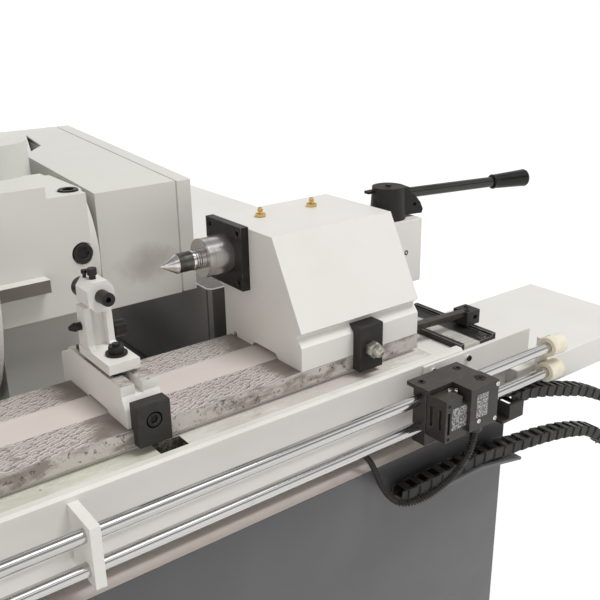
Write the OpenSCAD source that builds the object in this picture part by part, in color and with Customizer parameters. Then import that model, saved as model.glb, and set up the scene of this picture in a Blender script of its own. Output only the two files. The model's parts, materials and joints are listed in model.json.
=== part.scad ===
// Universal cylindrical grinding machine, 125 mm centre height, about 500 mm between centres.
// The frame is X along the table, Y from the operator to the back, Z up from the floor,
// with its origin on the floor at the middle of the whole machine's outline.
// at_table() shifts to the table's own frame: X = 0 on the tailstock's left face, Y = 0 on
// the upper table's front edge, Z = 0 on its top.

/* [Machine] */
// Length of the base along the table
base_len = 1590; // [1500:10:2000]
// Depth of the base from front to back
base_depth = 1000; // [960:10:1300]
// Height of the upper table's top above the floor
table_h = 950; // [850:10:1150]

/* [Table] */
// Length of the upper table
table_len = 1260; // [1160:10:1500]
// Width of the upper table's top
table_w = 167; // [160:1:175]
// Thickness of the upper table
table_th = 22; // [18:1:24]
// Width of the painted strip sunk along the middle of the table
strip_w = 57; // [40:1:60]
// Length of the cover over the ways at each end
guard_len = 340; // [200:10:400]

/* [Tailstock] */
// Height of the work centres above the table
centre_h = 125; // [118:1:150]
// Distance of the work centres from the table's front edge
axis_y = 157; // [150:1:160]
// Length of the tailstock body
tail_len = 206; // [190:1:215]
// Diameter of the quill
quill_d = 54; // [50:1:62]
// Side of the square flange on the tailstock's nose
flange_w = 88; // [80:1:94]
// Diameter of the dead centre's body
centre_d = 27; // [24:1:30]

/* [Quill lever] */
// Length of the lever bar
bar_len = 190; // [120:5:240]
// Diameter of the lever bar
bar_d = 16; // [12:1:17]
// Length of the hand grip
grip_len = 66; // [50:1:90]

/* [Dresser] */
// Distance of the dresser base from the tailstock, left faces
dress_gap = 242; // [220:1:400]
// Width of the dresser base along the table
dress_w = 47; // [44:1:60]
// Height of the dresser base
dress_h = 48; // [44:1:52]

/* [Guide rods] */
// Diameter of the two chromed guide rods
rod_d = 16; // [12:1:20]
// Height between the two rods
rod_pitch = 41; // [36:1:46]
// Distance of the rods in front of the table's front edge
rod_y = 80; // [76:1:84]

/* [Wheelhead] */
// Diameter of the grinding wheel
wheel_d = 400; // [300:5:400]
// Width of the grinding wheel
wheel_w = 50; // [30:1:56]
// Length of the belt cover from front to back
cover_len = 435; // [380:5:500]

/* [Control panel] */
// Diameter of the push button
button_d = 22; // [16:1:28]
// Diameter of the stop mushroom
stop_d = 40; // [30:1:50]

/* [Hidden] */

$fn = 64;
run_fit = 0.05;          // radial clearance of a running fit
gap = 0.3;               // air between pieces that move past each other
seat = 0.01;             // overlap left out between pieces that touch

// the table's own frame in the machine's frame
front_y = 50;            // base front to the table's front edge
base_x1 = 355;           // base's right end, in the table's frame
base_x0 = base_x1 - base_len;
back_y = base_depth - front_y;
wheel_out = 136;         // handwheel grip beyond the base front
lid_out = 2;             // cabinet lid beyond the base's back
table_y = (front_y + wheel_out - back_y - lid_out) / 2;

// heights below the table top
plinth_z = -152;
way_z = -141;
skirt_z = -133;
deck_z = -86;
ledge_z = -28;
pocket_z = -46;
foot_h = 30;
plinth_h = table_h + plinth_z - foot_h;

// table ends
table_l = tail_len + 1 - table_len;
table_r = tail_len + 1;
low_r = table_r + 159;
low_l = table_l - 159;
pivot_x = (table_l + table_r) / 2;
pivot_y = table_w / 2;
pivot_d = 40;
table_x = -pivot_x;
strip_y = (table_w - strip_w) / 2;

// bed ways under the table and under the wheelhead
vee_y = 34;
flat_y = 140;
vee_h = 7;
way_w = 40;
cross_x = [-400, -95];
cross_z = -145;

// tailstock
roof_z = centre_h + 41;
bend_y = 60;
tail_y = axis_y + 48;
block_l = 84;            // length of the block behind the tailstock
block_y0 = 80;
block_y1 = 190;
block_z0 = centre_h - 84;
block_z1 = centre_h + 14;
quill_nose = 50;
flange_t = 12;
centre_tip = 60;         // dead centre beyond the quill
hub_x = tail_len + 44;
gear_m = 2;
gear_z = 20;
gear_r = gear_m * gear_z / 2;
rack_y = axis_y - 24;    // pitch line of the rack
hub_y = rack_y - gear_r;
hub_h = 48;
lever_turn = -11.5;      // the lever's angle at rest
stroke = 25;
rod_tail_d = 12;

// dresser, from the dresser base's left face
dress_x = -dress_gap;
foot_z = dress_h + 5;
boss_z = 130;
hold_y0 = 58;
hold_y1 = 166;

// guide rods, carriage and switch
rod_zu = -50;
rod_zl = rod_zu - rod_pitch;
rod_r = low_r + 61;
rod_l = low_l - 60;
bush_l = 30;
bush_d = 31;
car_x = 131;
car_w = 98;

// wheelhead
house_y = 230;
house_x = -305;
house_w = 135;
house_z0 = 63;
house_z1 = 220;
wheel_y = house_y - 14 + wheel_d / 2;
wheel_x = house_x - 35;
cover_x = -148;
cover_w = 121;
cover_y = 255;
cover_z0 = 45;
cover_z1 = 211;
cover_tilt = 3.7;
cover_t = 3;
motor_y = wheel_y + 180;
motor_z = centre_h + 10;
spin_d = 60;

// workhead
head_l = table_l + 10;
head_len = 280;
head_y0 = 20;
head_y1 = 230;
head_z0 = 42;
head_top = 250;
nose_x = head_l + head_len;

module at_table() translate([table_x, table_y, table_h]) children();

// a bar of round section along X, from x0 to x1
module round_x(x0, x1, y, z, d)
    translate([x0, y, z]) rotate([0, 90, 0]) cylinder(h = x1 - x0, d = d);

// the same along Y, from y0 to y1
module round_y(x, y0, y1, z, d)
    translate([x, y0, z]) rotate([-90, 0, 0]) cylinder(h = y1 - y0, d = d);

// a box between two corners
module box(a, b) translate(a) cube(b - a);

// an outline in Y and Z drawn out along X
module profile_x(x0, x1, pts)
    translate([x0, 0, 0]) rotate([90, 0, 90]) linear_extrude(x1 - x0) polygon(pts);

// an outline in X and Z drawn out along Y
module profile_y(y0, y1, pts)
    translate([0, y1, 0]) rotate([90, 0, 0]) linear_extrude(y1 - y0) polygon(pts);

// socket-head screw that stands on z = 0 with its shank below
module cap_screw(d, head_d, head_h, shank)
    difference() {
        union() {
            cylinder(h = head_h, d = head_d);
            translate([0, 0, -shank]) cylinder(h = shank, d = d);
        }
        translate([0, 0, head_h * 0.45])
            cylinder(h = head_h, d = head_d * 0.5, $fn = 6);
    }

// tube of varying radius along points, with n sides
function unit3(v) = v / norm(v);
function path_dir(p, i) = unit3(p[min(i + 1, len(p) - 1)] - p[max(i - 1, 0)]);
function side_a(t, ref) = unit3(cross(t, ref));
module swept(p, r, n, ref) {
    rings = [for (i = [0:len(p) - 1]) let (t = path_dir(p, i), a = side_a(t, ref),
        b = cross(t, a)) for (k = [0:n - 1]) p[i] + r[i] * (cos(360 * k / n) * a
        + sin(360 * k / n) * b)];
    m = len(p) - 1;
    faces = concat([[for (k = [0:n - 1]) n - 1 - k]],
        [[for (k = [0:n - 1]) m * n + k]],
        [for (i = [0:m - 1]) for (k = [0:n - 1]) let (q = (k + 1) % n)
            [i * n + k, i * n + q, (i + 1) * n + q, (i + 1) * n + k]]);
    polyhedron(rings, faces, convexity = 6);
}

// ---- base ----

// cast base: a long front part for the table, a shorter rear part for the wheelhead
floor_z = -table_h;
rear_x = -500;
split_y = 560;
module base_plinth() color("#2f2d2f") at_table() difference() {
    union() {
        box([base_x0, -front_y, floor_z + foot_h], [base_x1, split_y, plinth_z]);
        box([rear_x, split_y - 1, floor_z + foot_h], [base_x1, back_y, plinth_z]);
        bed_ways();
    }
    // toe recess along the front
    box([base_x0 - 1, -front_y - 1, floor_z + foot_h - 1],
        [base_x1 + 1, -front_y + 60, floor_z + foot_h + 90]);
    // bores for the two handwheel shafts
    for (p = wheels) round_y(p[0], -front_y - 1, -front_y + 80, p[1], shaft_d + 2 * run_fit);
}

// ways ground on the base: a vee and a flat along the table, two flats for the wheelhead
module bed_ways() {
    x0 = base_x0;
    x1 = base_x1;
    profile_x(x0, x1, [[vee_y - way_w / 2, plinth_z - 1], [vee_y - way_w / 2, way_z],
        [vee_y - 9, way_z], [vee_y, way_z + vee_h], [vee_y + 9, way_z],
        [vee_y + way_w / 2, way_z], [vee_y + way_w / 2, plinth_z - 1]]);
    box([x0, flat_y - way_w / 2, plinth_z - 1], [x1, flat_y + way_w / 2, way_z]);
    for (x = cross_x) box([x - 20, 290, plinth_z - 1],
        [x + 20, back_y - 10, cross_z]);
}

module levelling_feet() color("#55555a") at_table()
    for (p = feet) translate([p[0], p[1], floor_z]) {
        cylinder(h = 14, d = 100);
        cylinder(h = foot_h, d = 30);
    }
feet_in = 90;
foot_y0 = -front_y + 130;
feet = [[base_x0 + feet_in, foot_y0], [(base_x0 + base_x1) / 2, foot_y0],
    [base_x1 - feet_in, foot_y0], [base_x0 + feet_in, split_y - feet_in],
    [rear_x + feet_in, back_y - feet_in], [base_x1 - feet_in, back_y - feet_in]];

// sheet cabinet on the right rear of the base
cab_x0 = 14;
cab_y0 = 248;
cab_top = 40.5;
sheet_t = 3;
module right_cabinet() color("#3a393b") at_table() {
    x1 = base_x1;
    y1 = back_y;
    difference() {
        profile_z(plinth_z, cab_top, [[cab_x0 + 7, cab_y0], [x1, cab_y0], [x1, y1],
            [cab_x0, y1], [cab_x0, cab_y0 + 7]]);
        box([cab_x0 + sheet_t, cab_y0 + 7 + sheet_t, plinth_z - 1],
            [x1 - sheet_t, y1 - sheet_t, cab_top - sheet_t]);
        box([cab_x0 + 20, lid_y0 + 20, cab_top - sheet_t - 1],
            [x1 - 20, y1 - 20, cab_top + 1]);
    }
}
module profile_z(z0, z1, pts)
    translate([0, 0, z0]) linear_extrude(z1 - z0) polygon(pts);

module right_cabinet_lid() color("#e9e5df") at_table() {
    x1 = base_x1;
    y1 = back_y;
    box([cab_x0 - 1, lid_y0, cab_top + seat], [x1 + 2, y1 + lid_out, cab_top + 3]);
}
lid_y0 = 400;

// chain tray on the base front, bent down at its free end
chain_y0 = -87;
chain_y1 = -59;
module chain_tray() color("#262628") at_table()
    profile_y(chain_y0 - 2, -front_y, [[112, tray_z], [262, tray_z], [353, tray_z - 18],
        [353, tray_z - 23], [262, tray_z - 5], [112, tray_z - 5]]);
tray_z = -197.9;

// operator's panel at the left of the base front
panel_x = -1180;
panel_z = -430;
module control_panel() color("#d9d6d0") at_table() difference() {
    profile_x(panel_x, panel_x + 240, [[-front_y, panel_z], [-front_y, panel_z + 260],
        [-front_y - 60, panel_z + 260], [-front_y - 90, panel_z + 230],
        [-front_y - 90, panel_z]]);
    round_y(panel_x + 70, -front_y - 91, -front_y - 50, panel_z + 170, button_d - 6 + 2 * gap);
    round_y(panel_x + 160, -front_y - 91, -front_y - 50, panel_z + 170, 18 + 2 * gap);
}
module start_button() color("#3e8e4a") at_table() {
    round_y(panel_x + 70, -front_y - 100, -front_y - 95, panel_z + 170, button_d);
    round_y(panel_x + 70, -front_y - 96, -front_y - 60, panel_z + 170, button_d - 6);
}
module stop_button() color("#b3261e") at_table() {
    round_y(panel_x + 160, -front_y - 114, -front_y - 98, panel_z + 170, stop_d);
    round_y(panel_x + 160, -front_y - 99, -front_y - 60, panel_z + 170, 18);
}

// handwheels on the base front: [x, z, diameter]
wheels = [[-700, -330, 220], [-330, -330, 200]];
shaft_d = 25;
module handwheel(p, d) at_table() {
    translate([p[0], -front_y - 62, p[1]]) rotate([-90, 0, 0]) {
        rotate_extrude() translate([d / 2 - 9, 9]) circle(d = 18, $fn = 24);
        for (a = [90:120:330]) rotate([0, 0, a]) box([0, -7, 4], [d / 2 - 10, 7, 14]);
        cylinder(h = 40, d = 52);
        cylinder(h = 62 + 70, d = shaft_d);
        translate([0, d / 2 - 9, -70]) cylinder(h = 72, d = 14);
        translate([0, d / 2 - 9, 62 - wheel_out]) cylinder(h = 64, d = 24);
    }
}
module table_handwheel() color("#c9c9c7") handwheel(wheels[0], wheels[0][2]);
module infeed_handwheel() color("#c9c9c7") handwheel(wheels[1], wheels[1][2]);

// ---- lower table ----

lip_y0 = -40;
lip_y1 = -24;
skirt_step = -92;
pin_h = 5;
module lower_table() color("#cfcdc6") at_table() {
    translate([pivot_x, pivot_y, -table_th - 1]) cylinder(h = pin_h + 1, d = pivot_d);
    table_casting();
}
module table_casting() difference() {
    profile_x(low_l, low_r, [[-15, skirt_z], [lip_y0 + 3, skirt_z], [lip_y0 + 3, skirt_step],
        [lip_y0, skirt_step], [lip_y0, ledge_z], [lip_y0 + 4, ledge_z + 3],
        [lip_y1 - 3, ledge_z + 3], [lip_y1, ledge_z], [6, ledge_z], [6, -table_th],
        [table_w - 6, -table_th], [table_w - 6, ledge_z - 4], [table_w + 10, -50],
        [table_w + 32, -50], [table_w + 32, -30], [table_w + 39, -30],
        [table_w + 39, -62], [table_w + 14, -62], [table_w + 14, way_z],
        [vee_y + 9, way_z], [vee_y, way_z + vee_h], [vee_y - 9, way_z], [-15, way_z]]);
    // seat for the swivel scale at the right end
    box([table_r + 8, lip_y1, pocket_z], [low_r + 1, table_w + 1, 0]);
    box([table_r + 53, lip_y0 - 1, pocket_z], [low_r + 1, lip_y1 + 1, 0]);
    // drain pocket in the front ledge
    box([-217, lip_y1, ledge_z - 16], [-181, 1, ledge_z + 1]);
    // grommet hole of the switch cable
    round_y(69, lip_y0 - 1, -24, -127, 12);
}

// covers that slide over the ways with the table
guard_y0 = -59;
guard_y1 = 183;
module one_guard(x0, x1) difference() {
    box([x0, guard_y0, skirt_z], [x1, guard_y1, deck_z]);
    box([x0 - 1, guard_y0 + 6, skirt_z - 1], [x1 - 6, guard_y1 - 6, deck_z - 6]);
}
module way_guards() color("#e6e3dd") at_table() {
    one_guard(low_r + seat, low_r + guard_len);
    translate([low_l + low_r, 0, 0]) mirror([1, 0, 0])
        one_guard(low_r + seat, low_r + guard_len);
}

screen_x0 = tail_len - 27;
screen_x1 = low_r + 40;
module front_screen() color("#c8c8c1") at_table() {
    box([screen_x0, lip_y0 - 4, deck_z + 1], [screen_x1, lip_y0, -30]);
    box([low_r + 2, lip_y0, deck_z], [screen_x1, lip_y0 + 14, deck_z + 3]);
    box([low_r + 2, lip_y0 - 4, deck_z], [screen_x1, lip_y0, deck_z + 2]);
    // head and shank of the screw that holds it to the lip
    for (x = [table_r + 59, screen_x0 + 16.5]) round_y(x, lip_y0 - 7, lip_y0 - 3, -40, 9);
}

// rod brackets: two on the table's skirt, one at each end under the bushes
module rod_arm(x, y1) difference() {
    box([x - 6, -rod_y - 16, rod_zl - 16], [x + 6, y1, rod_zu + 16]);
    for (z = [rod_zu, rod_zl]) round_x(x - 7, x + 7, -rod_y, z, rod_d + 2 * seat);
}
module rod_brackets() color("#dddad3") at_table() {
    rod_arm(-330, lip_y0);
    rod_arm(table_l + 120, lip_y0);
    rod_end(bush_r);
    rod_end(bush_lx);
}
// plate between the cover of the ways and the two bushes at a rod end
bush_flat = rod_y - bush_d / 2 + 0.7;
module rod_end(x) difference() {
    box([x + 2, -bush_flat, rod_zl - 14], [x + bush_l - 4, guard_y0 - seat, rod_zu + 10]);
    box([x, -bush_flat - 1, deck_z + 4], [x + bush_l, guard_y0 - 1.5, deck_z + 5]);
}

module guide_rods() color("#d5d8db") at_table()
    for (z = [rod_zu, rod_zl]) round_x(rod_l, rod_r, -rod_y, z, rod_d);

// nylon bushes on the rod ends, each with a flat towards the cover
bush_r = rod_r - bush_l + 6;
bush_lx = rod_l - 6;
module bush(x, z) difference() {
    round_x(x, x + bush_l, -rod_y, z, bush_d);
    round_x(x < 0 ? x + 6 : x - 1, x < 0 ? x + bush_l + 1 : x + bush_l - 6, -rod_y, z,
        rod_d + 2 * seat);
    box([x - 1, -bush_flat - seat, z - bush_d], [x + bush_l + 1, 0, z + bush_d]);
}
module rod_bushes() color("#e9e2c9") at_table() for (z = [rod_zu, rod_zl]) {
    bush(bush_r, z);
    bush(bush_lx, z);
}

scale_x0 = table_r + 78;
scale_x1 = scale_x0 + 78;
scale_y0 = -14;
module scale_bars() color("#232325") at_table() {
    for (x = [scale_x0, scale_x1 - 8])
        box([x, scale_y0, pocket_z], [x + 8, table_w - 12, pocket_z + 10]);
    box([scale_x0 + 42, scale_y0, pocket_z],
        [scale_x1 - 8, table_w - 12, pocket_z + 6]);
    translate([scale_x0 + 56, -4, pocket_z + 6]) cylinder(h = 2, d = 14);
}
module scale_plate() color("#c9c9c6") at_table()
    box([scale_x0 + 8, scale_y0, pocket_z], [scale_x0 + 42, table_w - 12, pocket_z + 5]);

// angle on the skirt that takes the moving end of the energy chain
bracket_x0 = 294;
bracket_x1 = 341;
bracket_z = skirt_z - 5;
skirt_y = lip_y0 + 3 - seat;
module chain_bracket() color("#2b2b2c") at_table() {
    box([bracket_x0, chain_y0 - 6, bracket_z], [bracket_x1, skirt_y, bracket_z + 5]);
    box([bracket_x0, skirt_y - 6, bracket_z], [bracket_x1, skirt_y, -110]);
    box([bracket_x1 - 32, chain_y0 - 6, bracket_z], [bracket_x1, chain_y0, -112]);
    box([bracket_x1 - 32, chain_y0 - 1, bracket_z], [bracket_x1 - 28, skirt_y - 1, -112]);
}

// energy chain: centre line of its links in X and Z, sagging past the end of the base
chain_line = [[336, -112], [368, -114], [392, -119], [418, -126], [445, -134], [472, -143],
    [495, -150], [518, -159], [550, -174], [582, -191], [612, -208], [634, -230], [642, -256],
    [630, -278], [606, -285], [580, -266], [556, -247], [528, -235], [500, -226], [470, -218],
    [440, -212], [412, -207], [385, -203], [355, -199], [325, -195], [300, -191], [270, -188],
    [230, -188], [190, -188], [150, -188], [118, -188]];
chain_t = 19;
function turn2(v) = [-v[1], v[0]] / norm(v);
function chain_side(i, s) = chain_line[i] + s * turn2(chain_line[min(i + 1,
    len(chain_line) - 1)] - chain_line[max(i - 1, 0)]) * chain_t / 2;
module energy_chain() color("#1d1d1f") at_table()
    profile_y(chain_y0 + 1, chain_y1 - 1, concat(
        [for (i = [0:len(chain_line) - 1]) chain_side(i, 1)],
        [for (i = [len(chain_line) - 1:-1:0]) chain_side(i, -1)]));

// ---- upper table ----

module upper_table() color("#8f8880") at_table() difference() {
    profile_x(table_l, table_r, [[0, -table_th + seat], [0, 0], [strip_y, 0],
        [strip_y + 1, -1.5], [strip_y + strip_w - 1, -1.5], [strip_y + strip_w, 0],
        [table_w, 0], [table_w, -table_th + seat]]);
    translate([pivot_x, pivot_y, -table_th - 1])
        cylinder(h = pin_h + 2, d = pivot_d + 2 * run_fit);
}

// pointer arm and adjusting block that carry the table's end along the scale
arm_y = 46;
module swivel_arm() color("#4a4744") at_table() {
    profile_z(-table_th, -13, [[table_r, arm_y], [scale_x0 + 67, arm_y - 11],
        [scale_x0 + 67, arm_y + 2], [table_r, arm_y + 15]]);
}
module adjuster_block() color("#222224") at_table() difference() {
    box([scale_x0 + 61, arm_y - 17, pocket_z + 10 + gap],
        [scale_x0 + 89, arm_y + 13, -13]);
    box([scale_x0 + 60, arm_y - 12, -table_th - seat],
        [scale_x0 + 67 + seat, arm_y + 4, -10 + seat]);
    round_y(scale_x0 + 79, arm_y - 18, arm_y + 3, -24, 8);
}

// ---- tailstock ----

module tailstock_body() color("#e4e0da") at_table() difference() {
    profile_x(0, tail_len, [[0, seat], [0, 32], [9, 43], [9, 46], [0, 52], [bend_y, roof_z],
        [tail_y, roof_z], [tail_y, 79], [table_w + 13, 67], [table_w + 13, -16],
        [table_w + 2, -16], [table_w + 2, seat],
        [160, seat], [160, 6], [152, 6], [152, seat], [strip_y + strip_w + 2, seat],
        [strip_y + strip_w - 4, 6.5], [strip_y + 3, 6.5], [strip_y - 3, seat]]);
    round_x(-1, tail_len + 1, axis_y, centre_h, quill_d + 2 * run_fit);
    for (p = flange_holes) round_x(-1, 22, p[0], p[1], 8 + 2 * seat);
    for (x = oiler_x) translate([x, oiler_y, roof_z - 8]) cylinder(h = 9, d = 6 + 2 * seat);
    round_y(nut_x, -1, 30, nut_z, 12 + 2 * seat);
    // cored pocket behind the slanted front
    box([26, 40, -1], [tail_len - 26, 92, 90]);
}
flange_holes = [for (a = [-1, 1]) for (b = [-1, 1])
    [axis_y + a * (flange_w / 2 - 10), centre_h + b * (flange_w / 2 - 10)]];
oiler_x = [50, 140];
oiler_y = axis_y;

// housing of the rack and the pinion
module tailstock_rear_block() color("#c9c8c1") at_table() difference() {
    box([tail_len + seat, block_y0, block_z0], [tail_len + block_l, block_y1, block_z1]);
    box([tail_len - 1, hub_y - gear_r - 5, centre_h - 9],
        [tail_len + block_l - 3, axis_y + 10, centre_h + 7.5]);
    translate([hub_x, hub_y, centre_h - 30]) cylinder(h = 60, d = 20 + 2 * run_fit);
}

module quill_flange() color("#2a2724") at_table() difference() {
    box([-flange_t, axis_y - flange_w / 2, centre_h - flange_w / 2],
        [-seat, axis_y + flange_w / 2, centre_h + flange_w / 2]);
    round_x(-flange_t - 1, 1, axis_y, centre_h, quill_d + 2 * run_fit);
    for (p = flange_holes) {
        round_x(-flange_t - 1, 1, p[0], p[1], 8 + 2 * seat);
        round_x(-flange_t - 1, -flange_t + 8, p[0], p[1], 13.4);
    }
}
module flange_screws() color("#1b1a19") at_table()
    for (p = flange_holes) translate([-flange_t + 8 - seat, p[0], p[1]]) rotate([0, -90, 0])
        cap_screw(8, 13, 7, 24);

module oilers() color("#b98d2f") at_table()
    for (x = oiler_x) translate([x, oiler_y, roof_z + seat]) {
        translate([0, 0, -7]) cylinder(h = 8, d = 6);
        cylinder(h = 5, d = 14, $fn = 6);
        cylinder(h = 9, d = 9);
        cylinder(h = 13, d = 6);
    }

// claw that grips the table's front edge
clamp_x = 86;
clamp_w = 40;
module tailstock_clamp() color("#2b2a26") at_table() difference() {
    profile_x(clamp_x, clamp_x + clamp_w, [[-15, -20.7], [-15, 41.5], [-13.5, 43], [8.6, 43],
        [-gap, 32.1], [-gap, -20.7]]);
    round_y(nut_x, -16, 1, nut_z, 12 + 2 * seat);
}
nut_x = clamp_x + clamp_w / 2 - 1.5;
nut_z = 10;
module clamp_bolt() color("#c9c9cb") at_table()
    translate([nut_x, -15 - seat, nut_z]) rotate([90, 0, 0]) {
        cylinder(h = 1.5, d = 25);
        translate([0, 0, 1]) cylinder(h = 10.5, d = 23, $fn = 6);
        translate([0, 0, 11]) cylinder(h = 3, d = 17);
        translate([0, 0, 14]) sphere(d = 17, $fn = 32);
        translate([0, 0, -40]) cylinder(h = 41, d = 12);
    }

quill_r = tail_len - 50;
module quill() color("#b9b8b6") at_table() difference() {
    union() {
        round_x(-quill_nose + 1, quill_r, axis_y, centre_h, quill_d);
        round_x(-quill_nose, -quill_nose + 2, axis_y, centre_h, quill_d - 2);
        round_x(quill_r - 1, rack_x1, axis_y, centre_h, rod_tail_d);
        rack();
    }
    // tapered seat of the dead centre
    translate([-quill_nose - 1, axis_y, centre_h]) rotate([0, 90, 0])
        cylinder(h = 82, d1 = 24, d2 = 20);
}
rack_x0 = tail_len - 2;
rack_x1 = tail_len + 54;
tooth_p = PI * gear_m;
module rack() {
    box([rack_x0, rack_y + 1.3 * gear_m, centre_h - 6],
        [rack_x1, axis_y + 6, centre_h + 6]);
    translate([0, 0, centre_h - 6]) linear_extrude(12)
        for (i = [-4:1]) translate([hub_x + i * tooth_p, rack_y]) polygon([
            [-tooth_p / 4 - 0.98, 1.3 * gear_m + 0.1], [-tooth_p / 4 + 0.15 + 0.66, -gear_m + 0.2],
            [tooth_p / 4 - 0.15 - 0.66, -gear_m + 0.2], [tooth_p / 4 + 0.98, 1.3 * gear_m + 0.1]]);
}

module dead_centre() color("#c4c2bf") at_table() {
    translate([-quill_nose + 80, axis_y, centre_h]) rotate([0, -90, 0])
        cylinder(h = 80, d1 = 19.98, d2 = 23.88);
    round_x(-quill_nose - 37, -quill_nose, axis_y, centre_h, centre_d);
    translate([-quill_nose - 37, axis_y, centre_h]) rotate([0, -90, 0])
        cylinder(h = centre_tip - 37, d1 = centre_d, d2 = 0.6);
}

// spring that presses the quill forward
spring_x0 = quill_r + 1.5 + gap;
spring_x1 = tail_len - 1.5 - gap;
module quill_spring() color("#77777a") at_table() {
    turns = 5;
    step = 24;
    pts = [for (i = [0:turns * 360 / step]) [spring_x0 + (spring_x1 - spring_x0) * i
        * step / turns / 360, axis_y + 15 * cos(i * step), centre_h + 15 * sin(i * step)]];
    swept(pts, [for (p = pts) 1.5], 8, [1, 0, 0]);
}

// lever shaft with its pinion
function inv_pt(rb, t) = rb * [cos(t) + t * PI / 180 * sin(t), sin(t) - t * PI / 180 * cos(t)];
function spin2(p, a) = [p[0] * cos(a) - p[1] * sin(a), p[0] * sin(a) + p[1] * cos(a)];
gear_b = gear_r * cos(20);
gear_o = gear_r + gear_m - 0.2;
function roll(r) = sqrt(r * r / gear_b / gear_b - 1) * 180 / PI;
tooth_h = 90 / gear_z - 0.45 + tan(20) * 180 / PI - 20;
flank = [for (i = [0:6]) inv_pt(gear_b, roll(gear_o) * i / 6)];
module pinion_2d() {
    circle(r = gear_r - 1.3 * gear_m, $fn = 48);
    for (k = [0:gear_z - 1]) rotate(k * 360 / gear_z) polygon(concat([[0, 0]],
        [for (p = flank) spin2(p, -tooth_h)],
        [for (i = [6:-1:0]) spin2([flank[i][0], -flank[i][1]], tooth_h)]));
}
module lever_shaft() color("#8c8a88") at_table() translate([hub_x, hub_y, 0]) {
    translate([0, 0, centre_h - 29]) cylinder(h = block_z1 + hub_h - 12 - centre_h + 29, d = 20);
    translate([0, 0, centre_h - 6]) linear_extrude(12)
        rotate(90 + 180 / gear_z) pinion_2d();
}

// tapered hub with the lug of the lever
module lever_hub() color("#292826") at_table() translate([hub_x, hub_y, block_z1 + gap])
    difference() {
        union() {
            cylinder(h = hub_h, r1 = 27, r2 = 24);
            rotate([0, 0, lever_turn]) translate([0, 10, 0]) rotate([90, 0, 0])
                linear_extrude(20) polygon([[10, 3], [54, 3], [56, 9], [51, 20], [43, 30],
                    [34, 36], [31, 45], [10, 45]]);
            translate([-33, 6, hub_h - 9]) cube([14, 10, 4]);
            translate([0, 0, hub_h - 1]) cylinder(h = 3, d = 8);
        }
        translate([0, 0, -1]) cylinder(h = hub_h - 11, d = 20 + 2 * seat);
        rotate([0, 0, lever_turn]) translate([0, 0, bar_z])
            rotate([0, 90, 0]) cylinder(h = 60, d = bar_d + 2 * seat);
        rotate([0, 0, lever_turn]) translate([41, 11, 18]) rotate([90, 0, 0])
            cylinder(h = 22, d = 6);
    }
bar_z = 34;
module on_lever() at_table() translate([hub_x, hub_y, block_z1 + gap + bar_z])
    rotate([0, 0, lever_turn]) rotate([0, 90, 0]) children();
module lever_bar() color("#39383a") on_lever()
    translate([0, 0, 14]) cylinder(h = bar_len + 20, d = bar_d);
module lever_grip() color("#1e1d1d") on_lever() translate([0, 0, bar_len])
    difference() {
        rotate_extrude() polygon([[0, 0], [10.6, 0], [11.6, 1.5], [11, 5], [13.2, grip_len - 10],
            [13.8, grip_len - 3], [12.6, grip_len], [0, grip_len]]);
        translate([0, 0, -1]) cylinder(h = 35 + seat, d = bar_d + 2 * seat);
    }

// ---- dresser ----

module dresser_base() color("#dcd8d2") at_table() translate([dress_x, 0, 0]) difference() {
    profile_x(0, dress_w, [[4, seat], [4, 16], [14, 36], [14, dress_h], [160, dress_h], [166, 40], [184, 34],
        [188, 30], [188, -12], [table_w + 2, -12], [table_w + 2, seat], [112, seat],
        [108, 4], [58, 4], [54, seat]]);
    // slideway groove
    box([dress_w - 30, 0, dress_h - 14], [dress_w - 20, 158, dress_h + 1]);
    round_y(dress_w / 2 + 1, -1, 40, 12, 10 + 2 * seat);
}

module dresser_clamp() color("#33322d") at_table() translate([dress_x, 0, 0]) difference() {
    profile_x(4, dress_w - 2, [[-15, -18], [-15, 31.5], [-13.5, 33], [4 - gap, 33],
        [4 - gap, gap], [-gap, gap], [-gap, -18]]);
    round_y(dress_w / 2 + 1, -16, 10, 12, 10 + 2 * seat);
    round_y(dress_w / 2 + 1, -16, -6, 12, 20);
}

module dresser_bolt() color("#1f1f1f") at_table()
    translate([dress_x + dress_w / 2 + 1, -6 - seat, 12]) rotate([90, 0, 0])
        cap_screw(10, 17, 8, 40);

// cast post on a foot, with a boss for the diamond holder
post_x = 20;
post_x0 = 1;
post_x1 = 35;
boss_y0 = 88;
boss_y1 = 122;
boss_w = 33;
boss_h = 37;
module dresser_post() color("#efede9") at_table() translate([dress_x, 0, 0]) difference() {
    union() {
        box([0, 40, foot_z], [39, 124, foot_z + 12]);
        // web with a flange at each side
        profile_x(post_x0, post_x1, [[104, foot_z + 11], [108, boss_z - 14],
            [121, boss_z - 14], [123, foot_z + 11]]);
        for (x = [post_x0, post_x1 - 8])
            profile_x(x, x + 8, [[88, foot_z + 11], [96, foot_z + 17], [99, boss_z - 14],
                [121, boss_z - 14], [123, foot_z + 11]]);
        profile_y(boss_y0, boss_y1, [[post_x - 8, boss_z - boss_h / 2],
            [post_x + 8, boss_z - boss_h / 2],
            [post_x + boss_w / 2, boss_z - 9], [post_x + boss_w / 2, boss_z + 9],
            [post_x + 9, boss_z + boss_h / 2], [post_x - 9, boss_z + boss_h / 2],
            [post_x - boss_w / 2, boss_z + 9], [post_x - boss_w / 2, boss_z - 9]]);
    }
    holder_axis() translate([0, 0, -60]) cylinder(h = 140, d = holder_d + 2 * seat);
    for (p = thumb) translate([p[0], p[1], boss_z + 10])
        cylinder(h = 20, d = p[2] + 2 * seat);
    translate([foot_nut[0], foot_nut[1], foot_z - 1]) cylinder(h = 20, d = 9 + 2 * seat);
    side_axis(91) translate([0, 0, -40]) cylinder(h = 50, d = 10 + 2 * seat);
    side_axis(76) cylinder(h = 40, d = 8 + 2 * seat);
}
holder_d = 16.5;
thumb = [[18, 104, 8], [13, 115, 4.5]];   // place and shank of the two screws
foot_nut = [dress_w - 25, 66];
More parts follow.
